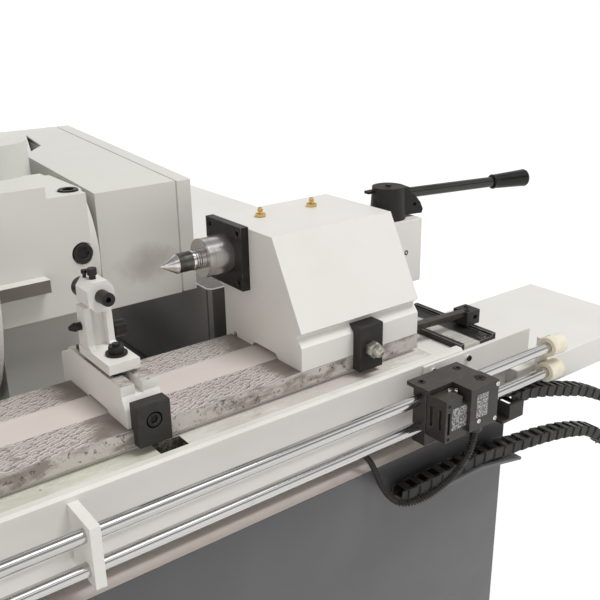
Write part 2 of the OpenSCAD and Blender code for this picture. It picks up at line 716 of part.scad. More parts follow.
module holder_axis() translate([post_x, 116, boss_z - 1]) rotate([-93.5, 0, 0]) children();
module side_axis(z) translate([post_x, 113, z]) rotate([0, 90, 0]) children();

module diamond_holder() color("#2c2b29") at_table() translate([dress_x, 0, 0]) {
    holder_axis() difference() {
        union() {
            translate([0, 0, -48]) cylinder(h = 88, d = holder_d);
            translate([0, 0, 12]) cylinder(h = 20, d = 25);
            translate([0, 0, 39]) cylinder(h = 8, d1 = 12, d2 = 3);
        }
        translate([0, 0, -49]) cylinder(h = 9, d = 7, $fn = 6);
    }
    side_axis(91) {
        translate([0, 0, -28]) cylinder(h = 38, d = 10);
        translate([0, 0, -34]) cylinder(h = 8, d1 = 5, d2 = 12);
    }
    side_axis(76) {
        translate([0, 0, 1]) cylinder(h = 22, d = 8);
        translate([0, 0, 18]) cylinder(h = 3, d = 15);
        translate([0, 0, 20]) cylinder(h = 15, d = 21);
    }
}

module dresser_screws() color("#1f1f1f") at_table() translate([dress_x, 0, 0]) {
    for (p = thumb) translate([p[0], p[1], boss_z + boss_h / 2]) {
        translate([0, 0, -8]) cylinder(h = 14, d = p[2]);
        translate([0, 0, 5]) cylinder(h = p[2], d = p[2] > 6 ? 11.5 : 7.5);
    }
    translate([foot_nut[0], foot_nut[1], foot_z + 12 + seat]) {
        cylinder(h = 3, d = 26);
        cylinder(h = 11, d = 20, $fn = 6);
        translate([0, 0, -foot_z - 12 + dress_h - 10]) cylinder(h = foot_z + 36 - dress_h, d = 9);
    }
    // slide strip between the foot and the base
    box([6, 44, dress_h + seat], [18, 150, foot_z - seat]);
}

// ---- interlock carriage ----

car_y0 = -90;
car_y1 = -66;
car_z0 = -117;
car_z1 = -36;
plate_y0 = -98.5;
switch_y0 = -125;
head_front = -132;
module carriage_block() color("#343432") at_table() difference() {
    union() {
        box([car_x + 5, car_y0, car_z0], [car_x + car_w - 2, car_y1, car_z1 + seat]);
        box([car_x, plate_y0, car_z1], [car_x + car_w - 2, -58, car_z1 + 6]);
    }
    for (z = [rod_zu, rod_zl])
        round_x(car_x - 1, car_x + car_w + 1, -rod_y, z, rod_d + 2 * run_fit);
    for (p = [[car_x + 13, -72.5], [car_x + 81, -72.5]])
        translate([p[0], p[1], car_z1 + 2.5]) cylinder(h = 6, d = 12);
}

module interlock_switch() color("#2c2c2d") at_table() difference() {
    union() {
        box([car_x + 6, switch_y0, -99], [car_x + 46, car_y0 - seat, -38]);
        box([car_x + 45, head_front, -92], [car_x + car_w + 1, car_y0 - seat, car_z1 - seat]);
        box([car_x + 45, head_front, car_z1 - 1], [car_x + car_w + 1, plate_y0 - seat,
            car_z1 + 6]);
        translate([car_x + 71, -118, -102]) cylinder(h = 12, d = 20, $fn = 32);
    }
    for (y = [-101, -117]) box([car_x + 5, y, -83], [car_x + 9, y + 4.5, -54]);
    box([car_x + 10, switch_y0 - 1, -87], [car_x + 14, switch_y0 + 3, -56]);
    box([car_x + 36, switch_y0 - 1, -50], [car_x + 45, -106, -37]);
    translate([car_x + 82, -113, car_z1 + 4]) cylinder(h = 3, d = 16);
    translate([car_x + 71, -118, -103]) cylinder(h = 9, d = 11 + 2 * seat);
}

// lead of the switch: conduit from the gland, then a plain cable into the table's skirt
lead = [[202, -118, -94], [202, -118, -108], [200, -118, -120], [193, -119, -134],
    [180, -119, -148], [163, -118, -161], [141, -114, -173], [120, -108, -182],
    [102, -99, -187], [91, -88, -187], [85, -76, -180], [81, -67, -168], [79, -60, -155],
    [76, -56, -144], [73, -52, -135], [70, -47, -129], [69, -40, -127], [69, -26, -127]];
lead_r = [for (i = [0:len(lead) - 1]) i < 9 ? 5.5 : i < 11 ? 4.7 : 4];
module switch_conduit() color("#1b1b1c") at_table() swept(lead, lead_r, 12, [0.5, 0.8, 0.1]);

// ---- wheelhead ----

slide_y = 268;
module wheelhead_slide() color("#c3c2ba") at_table() {
    box([-425, 300, cross_z], [-70, 780, -108]);
    box([-292, slide_y, -109], [-165, 660, house_z0 - seat]);
}

module spindle_housing() color("#d6d4cd") at_table() difference() {
    union() {
        box([house_x, house_y, house_z0], [house_x + house_w, 390, house_z1]);
        box([house_x, house_y, house_z1 - 1], [-222, 300, house_z1 + 15]);
        box([house_x, 212, 104], [-236, house_y + 1, 121]);
        round_x(house_x, cover_x - seat, wheel_y, centre_h, 120);
        translate([-228, wheel_y + 16, centre_h]) cylinder(h = 142, d = 112);
        // round flange between the housing and the belt cover
        intersection() {
            round_x(house_x + house_w - 1, house_x + house_w + 13, house_y + 123, centre_h, 236);
            box([house_x, house_y, house_z0 + 4], [cover_x - 1, 390, house_z1 - 4]);
        }
    }
    round_x(house_x - 1, cover_x + 1, wheel_y, centre_h, spin_d + 2 * run_fit);
    for (p = [[-182, 141], [-182, 94]])
        round_y(p[0], house_y - 1, house_y + 6, p[1], 30);
    for (p = [[-182, 141], [-182, 94]])
        round_y(p[0], house_y - 1, house_y + 60, p[1], 16 + 2 * seat);
    translate([-182, 258, house_z1 - 6]) cylinder(h = 10, d = 30);
    translate([-182, 258, house_z1 - 60]) cylinder(h = 60, d = 16 + 2 * seat);
}
module housing_screws() color("#232321") at_table() {
    for (p = [[-182, 141], [-182, 94]])
        translate([p[0], house_y + 6 - seat, p[1]]) rotate([90, 0, 0]) cap_screw(16, 27, 8, 48);
    translate([-182, 258, house_z1 - 6 + seat]) cap_screw(16, 27, 8, 48);
}

// sheet cover of the belt drive, its top falling towards the front
function top_z(y) = cover_z1 + (y - cover_y) * tan(cover_tilt);
cover_y1 = cover_y + cover_len;
module belt_cover() color("#dedcd7") at_table() difference() {
    union() {
        cover_box();
        relief(3, 18);
    }
    relief(0, 40);
}
module cover_box() difference() {
    profile_x(cover_x, cover_x + cover_w, [[cover_y, cover_z0], [cover_y, cover_z1],
        [cover_y1, top_z(cover_y1)], [cover_y1, cover_z0]]);
    profile_x(cover_x + cover_t, cover_x + cover_w + 1, [[cover_y + cover_t, cover_z0 + cover_t],
        [cover_y + cover_t, cover_z1 - cover_t], [cover_y1 - cover_t, top_z(cover_y1) - cover_t],
        [cover_y1 - cover_t, cover_z0 + cover_t]]);
    round_x(cover_x - 1, cover_x + cover_t + 1, wheel_y, centre_h, spin_d + 2);
    round_x(cover_x - 1, cover_x + cover_t + 1, motor_y, motor_z, 34);
}
// triangular sink in the cover's top
relief_z = top_z(528) - 16;
module relief(grow, h) translate([0, 0, relief_z - grow]) linear_extrude(h) polygon([
    [cover_x + 17 - grow, 528 - 2 * grow], [cover_x + 45 + grow, 559 - grow],
    [cover_x + 52 + grow, 645 + 3 * grow]]);
module belt_cover_lid() color("#d3d1cb") at_table() {
    lid_slab(cover_w + gap, cover_w + 3, cover_t - 0.6);
    lid_slab(cover_w + 2.5, cover_w + 25, 0);
}
module lid_slab(x0, x1, d) profile_x(cover_x + x0, cover_x + x1, [[cover_y + d, cover_z0 + d],
    [cover_y + d, cover_z1 - d], [cover_y1 - d, top_z(cover_y1) - d],
    [cover_y1 - d, cover_z0 + d]]);

pulley_x0 = cover_x + 30;
pulley_x1 = pulley_x0 + 50;
pulley_d = 110;
motor_pulley_d = 90;
belt_t = 8;
module drive_belt() color("#1a1a1a") at_table() {
    a = asin((pulley_d - motor_pulley_d) / 2 / norm([motor_y - wheel_y, motor_z - centre_h]));
    translate([pulley_x0 + 4, 0, 0]) rotate([90, 0, 90]) linear_extrude(42) difference() {
        hull() {
            translate([wheel_y, centre_h]) circle(d = pulley_d + 2 * belt_t);
            translate([motor_y, motor_z]) circle(d = motor_pulley_d + 2 * belt_t);
        }
        hull() {
            translate([wheel_y, centre_h]) circle(d = pulley_d + 2 * gap);
            translate([motor_y, motor_z]) circle(d = motor_pulley_d + 2 * gap);
        }
    }
}
module wheel_motor() color("#6d7074") at_table() difference() {
    union() {
        round_x(cover_x - 138, cover_x - seat, motor_y, motor_z, 140);
        motor_foot();
    }
    round_x(cover_x - 61, cover_x + 1, motor_y, motor_z, motor_shaft + 2 * run_fit);
}
module motor_foot()
    box([cover_x - 120, motor_y - 70, house_z0], [cover_x - 30, motor_y + 70, motor_z - 40]);
motor_shaft = 28;
module motor_pulley() color("#9a9a9a") at_table() {
    round_x(cover_x - 60, pulley_x1, motor_y, motor_z, motor_shaft);
    round_x(pulley_x0, pulley_x1, motor_y, motor_z, motor_pulley_d);
}

guard_r = wheel_d / 2 + 20;
guard_x0 = house_x - 72;
module wheel_guard() color("#d8d6cf") at_table() difference() {
    round_x(guard_x0, house_x - seat, wheel_y, centre_h, 2 * guard_r);
    round_x(guard_x0 + 5, house_x - 7, wheel_y, centre_h, 2 * guard_r - 12);
    box([guard_x0 - 1, wheel_y - guard_r - 1, centre_h - 90],
        [house_x - 7, wheel_y - wheel_d / 2 + 60, centre_h + 70]);
    round_x(house_x - 8, house_x + 1, wheel_y, centre_h, spin_d + 2);
}
module grinding_wheel() color("#b9a796") at_table() difference() {
    round_x(wheel_x - wheel_w / 2, wheel_x + wheel_w / 2, wheel_y, centre_h, wheel_d);
    round_x(wheel_x - wheel_w, wheel_x + wheel_w, wheel_y, centre_h, 127 + 2 * seat);
}
module wheel_spindle() color("#8f8f8f") at_table() {
    round_x(wheel_x - wheel_w / 2 - 4, pulley_x1, wheel_y, centre_h, spin_d);
    round_x(wheel_x - wheel_w / 2, wheel_x + wheel_w / 2, wheel_y, centre_h, 127);
    round_x(wheel_x - wheel_w / 2 - 4, wheel_x - wheel_w / 2 - seat, wheel_y, centre_h, 170);
    round_x(wheel_x + wheel_w / 2 + seat, wheel_x + wheel_w / 2 + 2.5, wheel_y, centre_h, 170);
    round_x(pulley_x0, pulley_x1, wheel_y, centre_h, pulley_d);
}

// ---- workhead ----

head_cx = head_l + head_len / 2;
module workhead_base() color("#d9d6cf") at_table() difference() {
    union() {
        box([head_l + 10, 0, seat], [head_l + head_len - 30, 190, head_z0 - 14]);
        box([head_l + 10, table_w + 2, -14], [head_l + head_len - 30, 190, seat + 1]);
        translate([head_cx, 100, head_z0 - 15]) cylinder(h = 15 - gap, d = 190);
    }
    translate([head_cx, 100, 10]) cylinder(h = 60, d = 50 + 2 * run_fit);
}
module workhead_body() color("#dedbd4") at_table() difference() {
    union() {
        profile_x(head_l, nose_x, [[head_y0, head_z0], [head_y0, 150], [head_y0 + 50, head_top],
            [head_y1, head_top], [head_y1, head_z0]]);
        translate([head_cx, 100, 11]) cylinder(h = 32, d = 50);
        round_x(head_l + 30, nose_x - 30, 130, head_top + 45, 130);
        box([head_l + 50, 90, head_top - 1], [nose_x - 50, 170, head_top + 20]);
    }
    round_x(head_l - 1, nose_x + 1, axis_y, centre_h, 70 + 2 * run_fit);
}
module workhead_spindle() color("#a9a8a6") at_table() {
    round_x(head_l + 1, nose_x + 22, axis_y, centre_h, 70);
    round_x(nose_x + 20, nose_x + 42, axis_y, centre_h, 160);
    round_x(nose_x + 41, nose_x + 60, axis_y, centre_h, 30);
    translate([nose_x + 60, axis_y, centre_h]) rotate([0, 90, 0])
        cylinder(h = 26, d1 = 30, d2 = 0.6);
    translate([nose_x + 40, axis_y, centre_h + 60]) rotate([0, 90, 0])
        cylinder(h = 30, d = 14);
}

base_plinth();
levelling_feet();
right_cabinet();
right_cabinet_lid();
chain_tray();
control_panel();
start_button();
stop_button();
table_handwheel();
infeed_handwheel();
lower_table();
way_guards();
front_screen();
rod_brackets();
guide_rods();
rod_bushes();
scale_plate();
scale_bars();
chain_bracket();
energy_chain();
upper_table();
swivel_arm();
adjuster_block();
tailstock_body();
tailstock_rear_block();
quill_flange();
flange_screws();
oilers();
tailstock_clamp();
clamp_bolt();
quill();
dead_centre();
quill_spring();
lever_shaft();
lever_hub();
lever_bar();
lever_grip();
dresser_base();
dresser_clamp();
dresser_bolt();
dresser_post();
diamond_holder();
dresser_screws();
carriage_block();
interlock_switch();
switch_conduit();
wheelhead_slide();
spindle_housing();
housing_screws();
belt_cover();
belt_cover_lid();
drive_belt();
wheel_motor();
motor_pulley();
wheel_guard();
grinding_wheel();
wheel_spindle();
workhead_base();
workhead_body();
workhead_spindle();
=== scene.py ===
"""Finishes and fine parts of a cylindrical grinding machine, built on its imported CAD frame."""

import json
import math

import bmesh
import bpy
from mathutils import Matrix, Vector


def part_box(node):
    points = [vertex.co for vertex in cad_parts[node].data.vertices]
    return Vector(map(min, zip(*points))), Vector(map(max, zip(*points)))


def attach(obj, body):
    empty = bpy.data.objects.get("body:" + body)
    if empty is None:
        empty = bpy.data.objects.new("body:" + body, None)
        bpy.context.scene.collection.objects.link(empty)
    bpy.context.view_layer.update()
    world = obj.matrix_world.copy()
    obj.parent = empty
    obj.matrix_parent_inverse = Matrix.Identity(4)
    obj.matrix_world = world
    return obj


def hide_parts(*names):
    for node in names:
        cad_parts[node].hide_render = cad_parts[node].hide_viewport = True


bl_info = {
    "name": "Cylindrical Grinding Machine",
    "version": (1, 0, 0),
    "blender": (4, 5, 0),
    "location": "3D View > Sidebar > Grinder",
    "description": "Builds the finishes and fine parts of a cylindrical grinding machine",
    "category": "Object",
}

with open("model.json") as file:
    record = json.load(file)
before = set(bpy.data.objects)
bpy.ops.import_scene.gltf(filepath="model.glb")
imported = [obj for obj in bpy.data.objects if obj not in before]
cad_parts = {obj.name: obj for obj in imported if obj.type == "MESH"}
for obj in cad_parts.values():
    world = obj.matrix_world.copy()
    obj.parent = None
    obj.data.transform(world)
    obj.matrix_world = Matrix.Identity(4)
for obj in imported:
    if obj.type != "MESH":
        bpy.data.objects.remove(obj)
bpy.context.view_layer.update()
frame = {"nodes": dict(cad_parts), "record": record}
RECORD = frame["record"]
BODY_OF = {node: body for body, nodes in RECORD["behaviour"]["bodies"].items() for node in nodes}

# The table's own frame: the tailstock's left end, the table's front edge and its top.
TABLE_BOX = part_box("upper_table")
CORNER = Vector((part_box("tailstock_body")[0].x, TABLE_BOX[0].y, TABLE_BOX[1].z))
MM = 0.001

# Directions in that frame, and y and z of the centres' line, in millimetres.
LEFT, FRONT, UP = (-1, 0, 0), (0, -1, 0), (0, 0, 1)
AXIS_Y, AXIS_Z = 157, 125

# The table's gutter: the drain pocket's ends, and where its enamel turns from green to beige.
DRAIN_X = (-218, -180)
PAST_DRAIN_X = (-200, -165)
# Centre of the soft brown patch on the belt cover.
BROWN_PATCH_AT = (-77, 256, 100)

# The conduit from the switch down to the table's front, point by point.
CONDUIT_ROUTE = [(202, -118, -94), (202, -118, -108), (200, -118, -120), (193, -119, -134),
                 (180, -119, -148), (163, -118, -161), (141, -114, -173), (120, -108, -182),
                 (102, -99, -187), (91, -88, -187), (85, -76, -180), (81, -67, -168),
                 (79, -60, -155), (76, -56, -144), (73, -52, -135), (70, -47, -129),
                 (69, -40, -127), (69, -26, -127)]

# The energy chain's middle line, x and z, in one plane.
CHAIN_Y = -73
CHAIN_LINE = [(336, -112), (368, -114), (392, -119), (418, -126), (445, -134), (472, -143),
              (495, -150), (518, -159), (550, -174), (582, -191), (612, -208), (634, -230),
              (642, -256), (630, -278), (606, -285), (580, -266), (556, -247), (528, -235),
              (500, -226), (470, -218), (440, -212), (412, -207), (385, -203), (355, -199),
              (325, -195), (300, -191), (270, -188), (230, -188), (190, -188), (150, -188),
              (118, -188)]

# The camera's place, its turns in degrees, and its lens.
CAMERA_AT = (-572.37, -759.60, 452.69)
CAMERA_YAW, CAMERA_DIP, CAMERA_ROLL = 36.93, 20.40, -0.883
SENSOR_WIDTH, LENS = 36.0, 49.08

# The lamps' directions, spreads in degrees and colours.
KEY_LAMP = ((-0.3, 0.32, -0.95), 25, (1.0, 1.0, 0.99))
FILL_LAMP = ((0.95, 0.5, -0.35), 40, (1.0, 0.85, 0.78))

# Points of a CAD mesh this near, in metres, are one; faces turned less than this are one flat.
WELD, FLAT = 3e-6, math.radians(0.6)

# Screw heads of unit diameter and height: sides, then rows of radius, height and hexed or not.
TEMPLATES = {
    "head_socket": (36, [(0, -0.4), (0.3, -0.4), (0.3, 0.0), (0.5, 0.0), (0.5, 0.86), (0.47, 1.0),
                         (0.33, 1.0), (0.29, 0.93), (0.262, 0.93, True), (0.262, 0.42, True),
                         (0.2, 0.34), (0, 0.28)]),
    "head_flat": (24, [(0, -0.3), (0.5, -0.3), (0.5, 0.75), (0.45, 1.0), (0.27, 1.0),
                       (0.25, 0.9, True), (0.25, 0.35, True), (0, 0.3)]),
    "head_ringed": (24, [(0, -0.3), (0.5, -0.3), (0.5, 0.8), (0.46, 1.0), (0.36, 1.0),
                         (0.33, 0.6), (0.18, 0.6), (0.16, 0.2), (0, 0.2)]),
}


def at(x, y, z):
    """A point given in millimetres from the table's corner."""
    return CORNER + Vector((x, y, z)) * MM


def local_mm(p):
    """A point in metres, given back in millimetres from the table's corner."""
    return (Vector(p) - CORNER) / MM


# ---------------------------------------------------------------- node graphs


class Graph:
    """Writes nodes into a tree with few words."""

    def __init__(self, tree):
        self.tree = tree

    def add(self, kind, **settings):
        """A new node with its settings, laid out in rows."""
        node = self.tree.nodes.new(kind)
        for key, value in settings.items():
            setattr(node, key, value)
        node.location = (220 * (len(self.tree.nodes) % 9), -260 * (len(self.tree.nodes) // 9))
        return node

    def put(self, socket, value):
        """Links an input to another node's output, or gives it a constant."""
        if isinstance(value, bpy.types.NodeSocket):
            self.tree.links.new(value, socket)
        else:
            socket.default_value = (*value, 1.0) if socket.type == "RGBA" else value

    def feed(self, node, values):
        """Fills a node's inputs in their order."""
        for socket, value in zip(node.inputs, values):
            self.put(socket, value)
        return node

    def fill(self, node, **values):
        """Fills a node's inputs by name."""
        for key, value in values.items():
            self.put(node.inputs[key.replace("_", " ")], value)
        return node

    def maths(self, kind, *values, clamp=False):
        node = self.add("ShaderNodeMath", operation=kind, use_clamp=clamp)
        return self.feed(node, values).outputs[0]

    def vectors(self, kind, *values, out=0):
        return self.feed(self.add("ShaderNodeVectorMath", operation=kind), values).outputs[out]

    def scaled(self, vector, factor):
        node = self.add("ShaderNodeVectorMath", operation="SCALE")
        return self.fill(node, Vector=vector, Scale=factor).outputs[0]

    def combine(self, *values):
        return self.feed(self.add("ShaderNodeCombineXYZ"), values).outputs[0]

    def mix(self, share, a, b):
        node = self.add("ShaderNodeMix", data_type="RGBA")
        for index, value in ((0, share), (6, a), (7, b)):
            self.put(node.inputs[index], value)
        return node.outputs[2]

    def stain(self, body, mask, share, colour):
        """Lays a share of a colour over the body where the mask is."""
        return self.mix(self.maths("MULTIPLY", mask, share), body, colour)

    def step(self, value, low, high, to_low=0.0, to_high=1.0):
        """Rises smoothly from to_low to to_high while the value goes from low to high."""
        node = self.add("ShaderNodeMapRange", interpolation_type="SMOOTHSTEP")
        return self.feed(node, (value, low, high, to_low, to_high)).outputs[0]

    def noise(self, vector, scale, detail, roughness=0.5, distortion=0.0, out=0):
        node = self.add("ShaderNodeTexNoise")
        self.fill(node, Vector=vector, Scale=scale, Detail=detail, Roughness=roughness,
                  Distortion=distortion)
        return node.outputs[out]

    def place(self, vector, rotation=(0, 0, 0), scale=(1, 1, 1)):
        node = self.add("ShaderNodeMapping")
        return self.fill(node, Vector=vector, Rotation=rotation, Scale=scale).outputs[0]

    def axes(self, vector):
        return self.feed(self.add("ShaderNodeSeparateXYZ"), (vector,)).outputs

    def group(self, tree, **values):
        node = self.add("ShaderNodeGroup", node_tree=bpy.data.node_groups[tree])
        return self.fill(node, **values).outputs

    def bump(self, height, distance):
        return self.fill(self.add("ShaderNodeBump"), Height=height, Distance=distance).outputs[0]

    def seen(self):
        """One for the rays that show a thing: camera, glossy and transmission rays."""
        path = self.add("ShaderNodeLightPath").outputs
        return self.maths("MAXIMUM", path["Is Camera Ray"], self.maths(
            "MAXIMUM", path["Is Glossy Ray"], path["Is Transmission Ray"]))


SOCKETS = {"v": "NodeSocketVector", "f": "NodeSocketFloat", "i": "NodeSocketInt",
           "g": "NodeSocketGeometry", "o": "NodeSocketObject", "m": "NodeSocketMaterial"}


def open_group(name, kind, inputs, outputs):
    """A new node group with named sockets; returns its graph and its two end nodes."""
    tree = bpy.data.node_groups.new(name, kind)
    for label, letter, default in inputs:
        socket = tree.interface.new_socket(name=label, in_out="INPUT", socket_type=SOCKETS[letter])
        if default is not None:
            socket.default_value = default
    for label, letter in outputs:
        tree.interface.new_socket(name=label, in_out="OUTPUT", socket_type=SOCKETS[letter])
    graph = Graph(tree)
    return graph, graph.add("NodeGroupInput").outputs, graph.add("NodeGroupOutput").inputs


# ---------------------------------------------------------------- shared effects


def make_effects():
    """The shader groups that several finishes use."""
    # slight waviness of sprayed paint, with slow changes of tone and gloss
    g, i, o = open_group("Paint Skin", "ShaderNodeTree",
                         [("Vector", "v", None)], [("Height", "f"), ("Tone", "f"), ("Gloss", "f")])
    v = i["Vector"]
    fine = g.noise(v, 900, 2)
    coarse = g.noise(v, 170, 2)
    g.put(o["Height"], g.maths("MULTIPLY_ADD", coarse, 0.7, g.maths("MULTIPLY", fine, 0.3)))
    g.put(o["Tone"], g.step(g.noise(v, 4.5, 4, 0.55), 0.3, 0.72))
    g.put(o["Gloss"], g.step(g.noise(v, 28, 4, 0.6), 0.3, 0.7))

    # bare or rubbed arrises
    g, i, o = open_group("Edge Wear", "ShaderNodeTree",
                         [("Vector", "v", None), ("Radius", "f", 0.001), ("Amount", "f", 0.5)],
                         [("Mask", "f")])
    soft = g.add("ShaderNodeBevel", samples=4)
    g.put(soft.inputs["Radius"], i["Radius"])
    flat = g.add("ShaderNodeNewGeometry").outputs["True Normal"]
    bend = g.maths("SUBTRACT", 1.0, g.vectors("DOT_PRODUCT", soft.outputs[0], flat, out="Value"))
    patch = g.step(g.noise(i["Vector"], 120, 4, 0.65), 0.42, 0.66)
    strong = g.maths("MULTIPLY", g.step(bend, 0.02, 0.16), patch)
    g.put(o["Mask"], g.maths("MULTIPLY", strong, i["Amount"], clamp=True))

    # patches of dirt and dried coolant
    g, i, o = open_group("Grime", "ShaderNodeTree",
                         [("Vector", "v", None), ("Scale", "f", 8.0), ("Cover", "f", 0.5),
                          ("Softness", "f", 0.2)],
                         [("Mask", "f")])
    n = g.noise(g.scaled(i["Vector"], i["Scale"]), 1.0, 7, 0.6, 0.3)
    g.put(o["Mask"], g.step(n, i["Cover"], g.maths("ADD", i["Cover"], i["Softness"])))

    # fine scratches drawn out along one direction
    g, i, o = open_group("Scratches", "ShaderNodeTree",
                         [("Vector", "v", None), ("Stretch", "v", (20.0, 900.0, 900.0)),
                          ("Width", "f", 0.03)],
                         [("Mask", "f")])
    n = g.noise(g.vectors("MULTIPLY", i["Vector"], i["Stretch"]), 1.0, 2, 0.5)
    off = g.maths("ABSOLUTE", g.maths("SUBTRACT", n, 0.5))
    keep = g.step(g.noise(g.vectors("MULTIPLY", i["Vector"], (31, 57, 43)), 1.0, 2), 0.5, 0.66)
    line = g.maths("SUBTRACT", 1.0, g.step(off, 0.0, i["Width"]))
    g.put(o["Mask"], g.maths("MULTIPLY", line, keep))

    # lines left by turning or grinding
    g, i, o = open_group("Tool Lines", "ShaderNodeTree",
                         [("Vector", "v", None), ("Stretch", "v", (900.0, 4.0, 4.0))],
                         [("Height", "f"), ("Tone", "f")])
    v = g.vectors("MULTIPLY", i["Vector"], i["Stretch"])
    g.put(o["Height"], g.noise(v, 1.0, 4, 0.7))
    g.put(o["Tone"], g.step(g.noise(v, 0.35, 3, 0.6), 0.3, 0.7))

    # crescents of hand scraping
    g, i, o = open_group("Scraping", "ShaderNodeTree",
                         [("Vector", "v", None), ("Pitch", "v", (0.0084, 0.0052, 1.0)),
                          ("Turn", "f", -0.35)],
                         [("Light", "f"), ("Dark", "f"), ("Height", "f")])
    sway = g.noise(i["Vector"], 55.0, 2.0, out=1)
    loose = g.vectors("MULTIPLY_ADD", sway, (0.006, 0.006, 0), i["Vector"])
    turned = g.add("ShaderNodeVectorRotate", rotation_type="Z_AXIS")
    g.fill(turned, Vector=loose, Angle=i["Turn"])
    cells = g.vectors("DIVIDE", turned.outputs[0], i["Pitch"])
    spots = g.add("ShaderNodeTexVoronoi", voronoi_dimensions="2D", feature="F1")
    g.fill(spots, Vector=cells, Scale=1.0, Randomness=0.62)
    inner = g.vectors("SUBTRACT", cells, spots.outputs["Position"])
    inner = g.vectors("MULTIPLY", inner, (1, 1, 0))
    disc = g.step(g.vectors("LENGTH", inner, out="Value"), 0.57, 0.5)
    bite = g.step(g.vectors("LENGTH", g.vectors("ADD", inner, (0.06, 0.25, 0)), out="Value"),
                  0.57, 0.5)
    light = g.maths("SUBTRACT", disc, bite, clamp=True)
    dark = g.maths("SUBTRACT", bite, disc, clamp=True)
    g.put(o["Light"], light)
    g.put(o["Dark"], dark)
    g.put(o["Height"], g.maths("SUBTRACT", light, dark))


# ---------------------------------------------------------------- finishes


def bare(name, **fixed):
    """A material with a plain Principled shader; returns it, its graph, shader and coordinates."""
    material = bpy.data.materials.new("finish_" + name)
    material.use_nodes = True
    material.node_tree.nodes.clear()
    g = Graph(material.node_tree)
    out = g.add("ShaderNodeOutputMaterial")
    shader = g.add("ShaderNodeBsdfPrincipled")
    g.put(out.inputs[0], shader.outputs[0])
    g.fill(shader, **fixed)
    return material, g, shader, g.add("ShaderNodeTexCoord").outputs["Object"]


def paint(name, colour, shade, rough, grime=0.1, dirt=(0.42, 0.38, 0.33), wear=0.3,
          worn=(0.5, 0.48, 0.45), coat=0.0, wave=0.00012):
    """Sprayed enamel: colour drifting to a shade, dirt in patches, rubbed edges."""
    material, g, shader, co = bare(name, Coat_Weight=coat, Coat_Roughness=0.12)
    skin = g.group("Paint Skin", Vector=co)
    spots = g.group("Grime", Vector=co, Scale=13.0, Cover=0.55, Softness=0.25)
    edge = g.group("Edge Wear", Vector=co, Radius=0.0014, Amount=wear)
    body = g.mix(skin["Tone"], colour, shade)
    body = g.stain(body, spots["Mask"], grime, dirt)
    body = g.mix(edge["Mask"], body, worn)
    g.fill(shader, Base_Color=body,
           Roughness=g.maths("MULTIPLY_ADD", skin["Gloss"], 0.1, rough - 0.05),
           Normal=g.bump(skin["Height"], wave))
    return material


def steel(name, colour, shade, rough, stretch=(900, 4, 4), depth=0.00002, metallic=1.0,
          scratch=0.25, scratch_stretch=(20, 900, 900), grime=0.1):
    """Bright metal with the lines of its last tool."""
    material, g, shader, co = bare(name, Metallic=metallic)
    lines = g.group("Tool Lines", Vector=co, Stretch=stretch)
    marks = g.group("Scratches", Vector=co, Stretch=scratch_stretch, Width=0.02)
    spots = g.group("Grime", Vector=co, Scale=40.0, Cover=0.56, Softness=0.2)
    body = g.mix(lines["Tone"], colour, shade)
    body = g.stain(body, marks["Mask"], scratch, [c * 0.45 for c in shade])
    body = g.stain(body, spots["Mask"], grime, (0.14, 0.11, 0.09))
    rough_now = g.maths("MULTIPLY_ADD", lines["Tone"], 0.08, rough - 0.03)
    rough_now = g.maths("MULTIPLY_ADD", spots["Mask"], grime * 1.2, rough_now)
    g.fill(shader, Base_Color=body, Roughness=rough_now, Normal=g.bump(lines["Height"], depth))
    return material


def blacked(name, colour, shade, rough, wear=0.5, worn=(0.2, 0.19, 0.18), grain=0.00008,
            scale=420, dust=0.08, gleam=0.3):
    """Blackened steel or moulded plastic: fine grain, dust, lighter edges."""
    material, g, shader, co = bare(name, Specular_IOR_Level=gleam)
    grain_now = g.noise(co, scale, 3, 0.6)
    drift = g.step(g.noise(co, 22, 4, 0.6), 0.32, 0.7)
    edge = g.group("Edge Wear", Vector=co, Radius=0.0012, Amount=wear)
    spots = g.group("Grime", Vector=co, Scale=60.0, Cover=0.5, Softness=0.3)
    body = g.mix(drift, colour, shade)
    body = g.stain(body, spots["Mask"], dust, (0.2, 0.185, 0.17))
    body = g.mix(edge["Mask"], body, worn)
    g.fill(shader, Base_Color=body, Roughness=g.maths("MULTIPLY_ADD", drift, 0.12, rough - 0.05),
           Normal=g.bump(grain_now, grain))
    return material


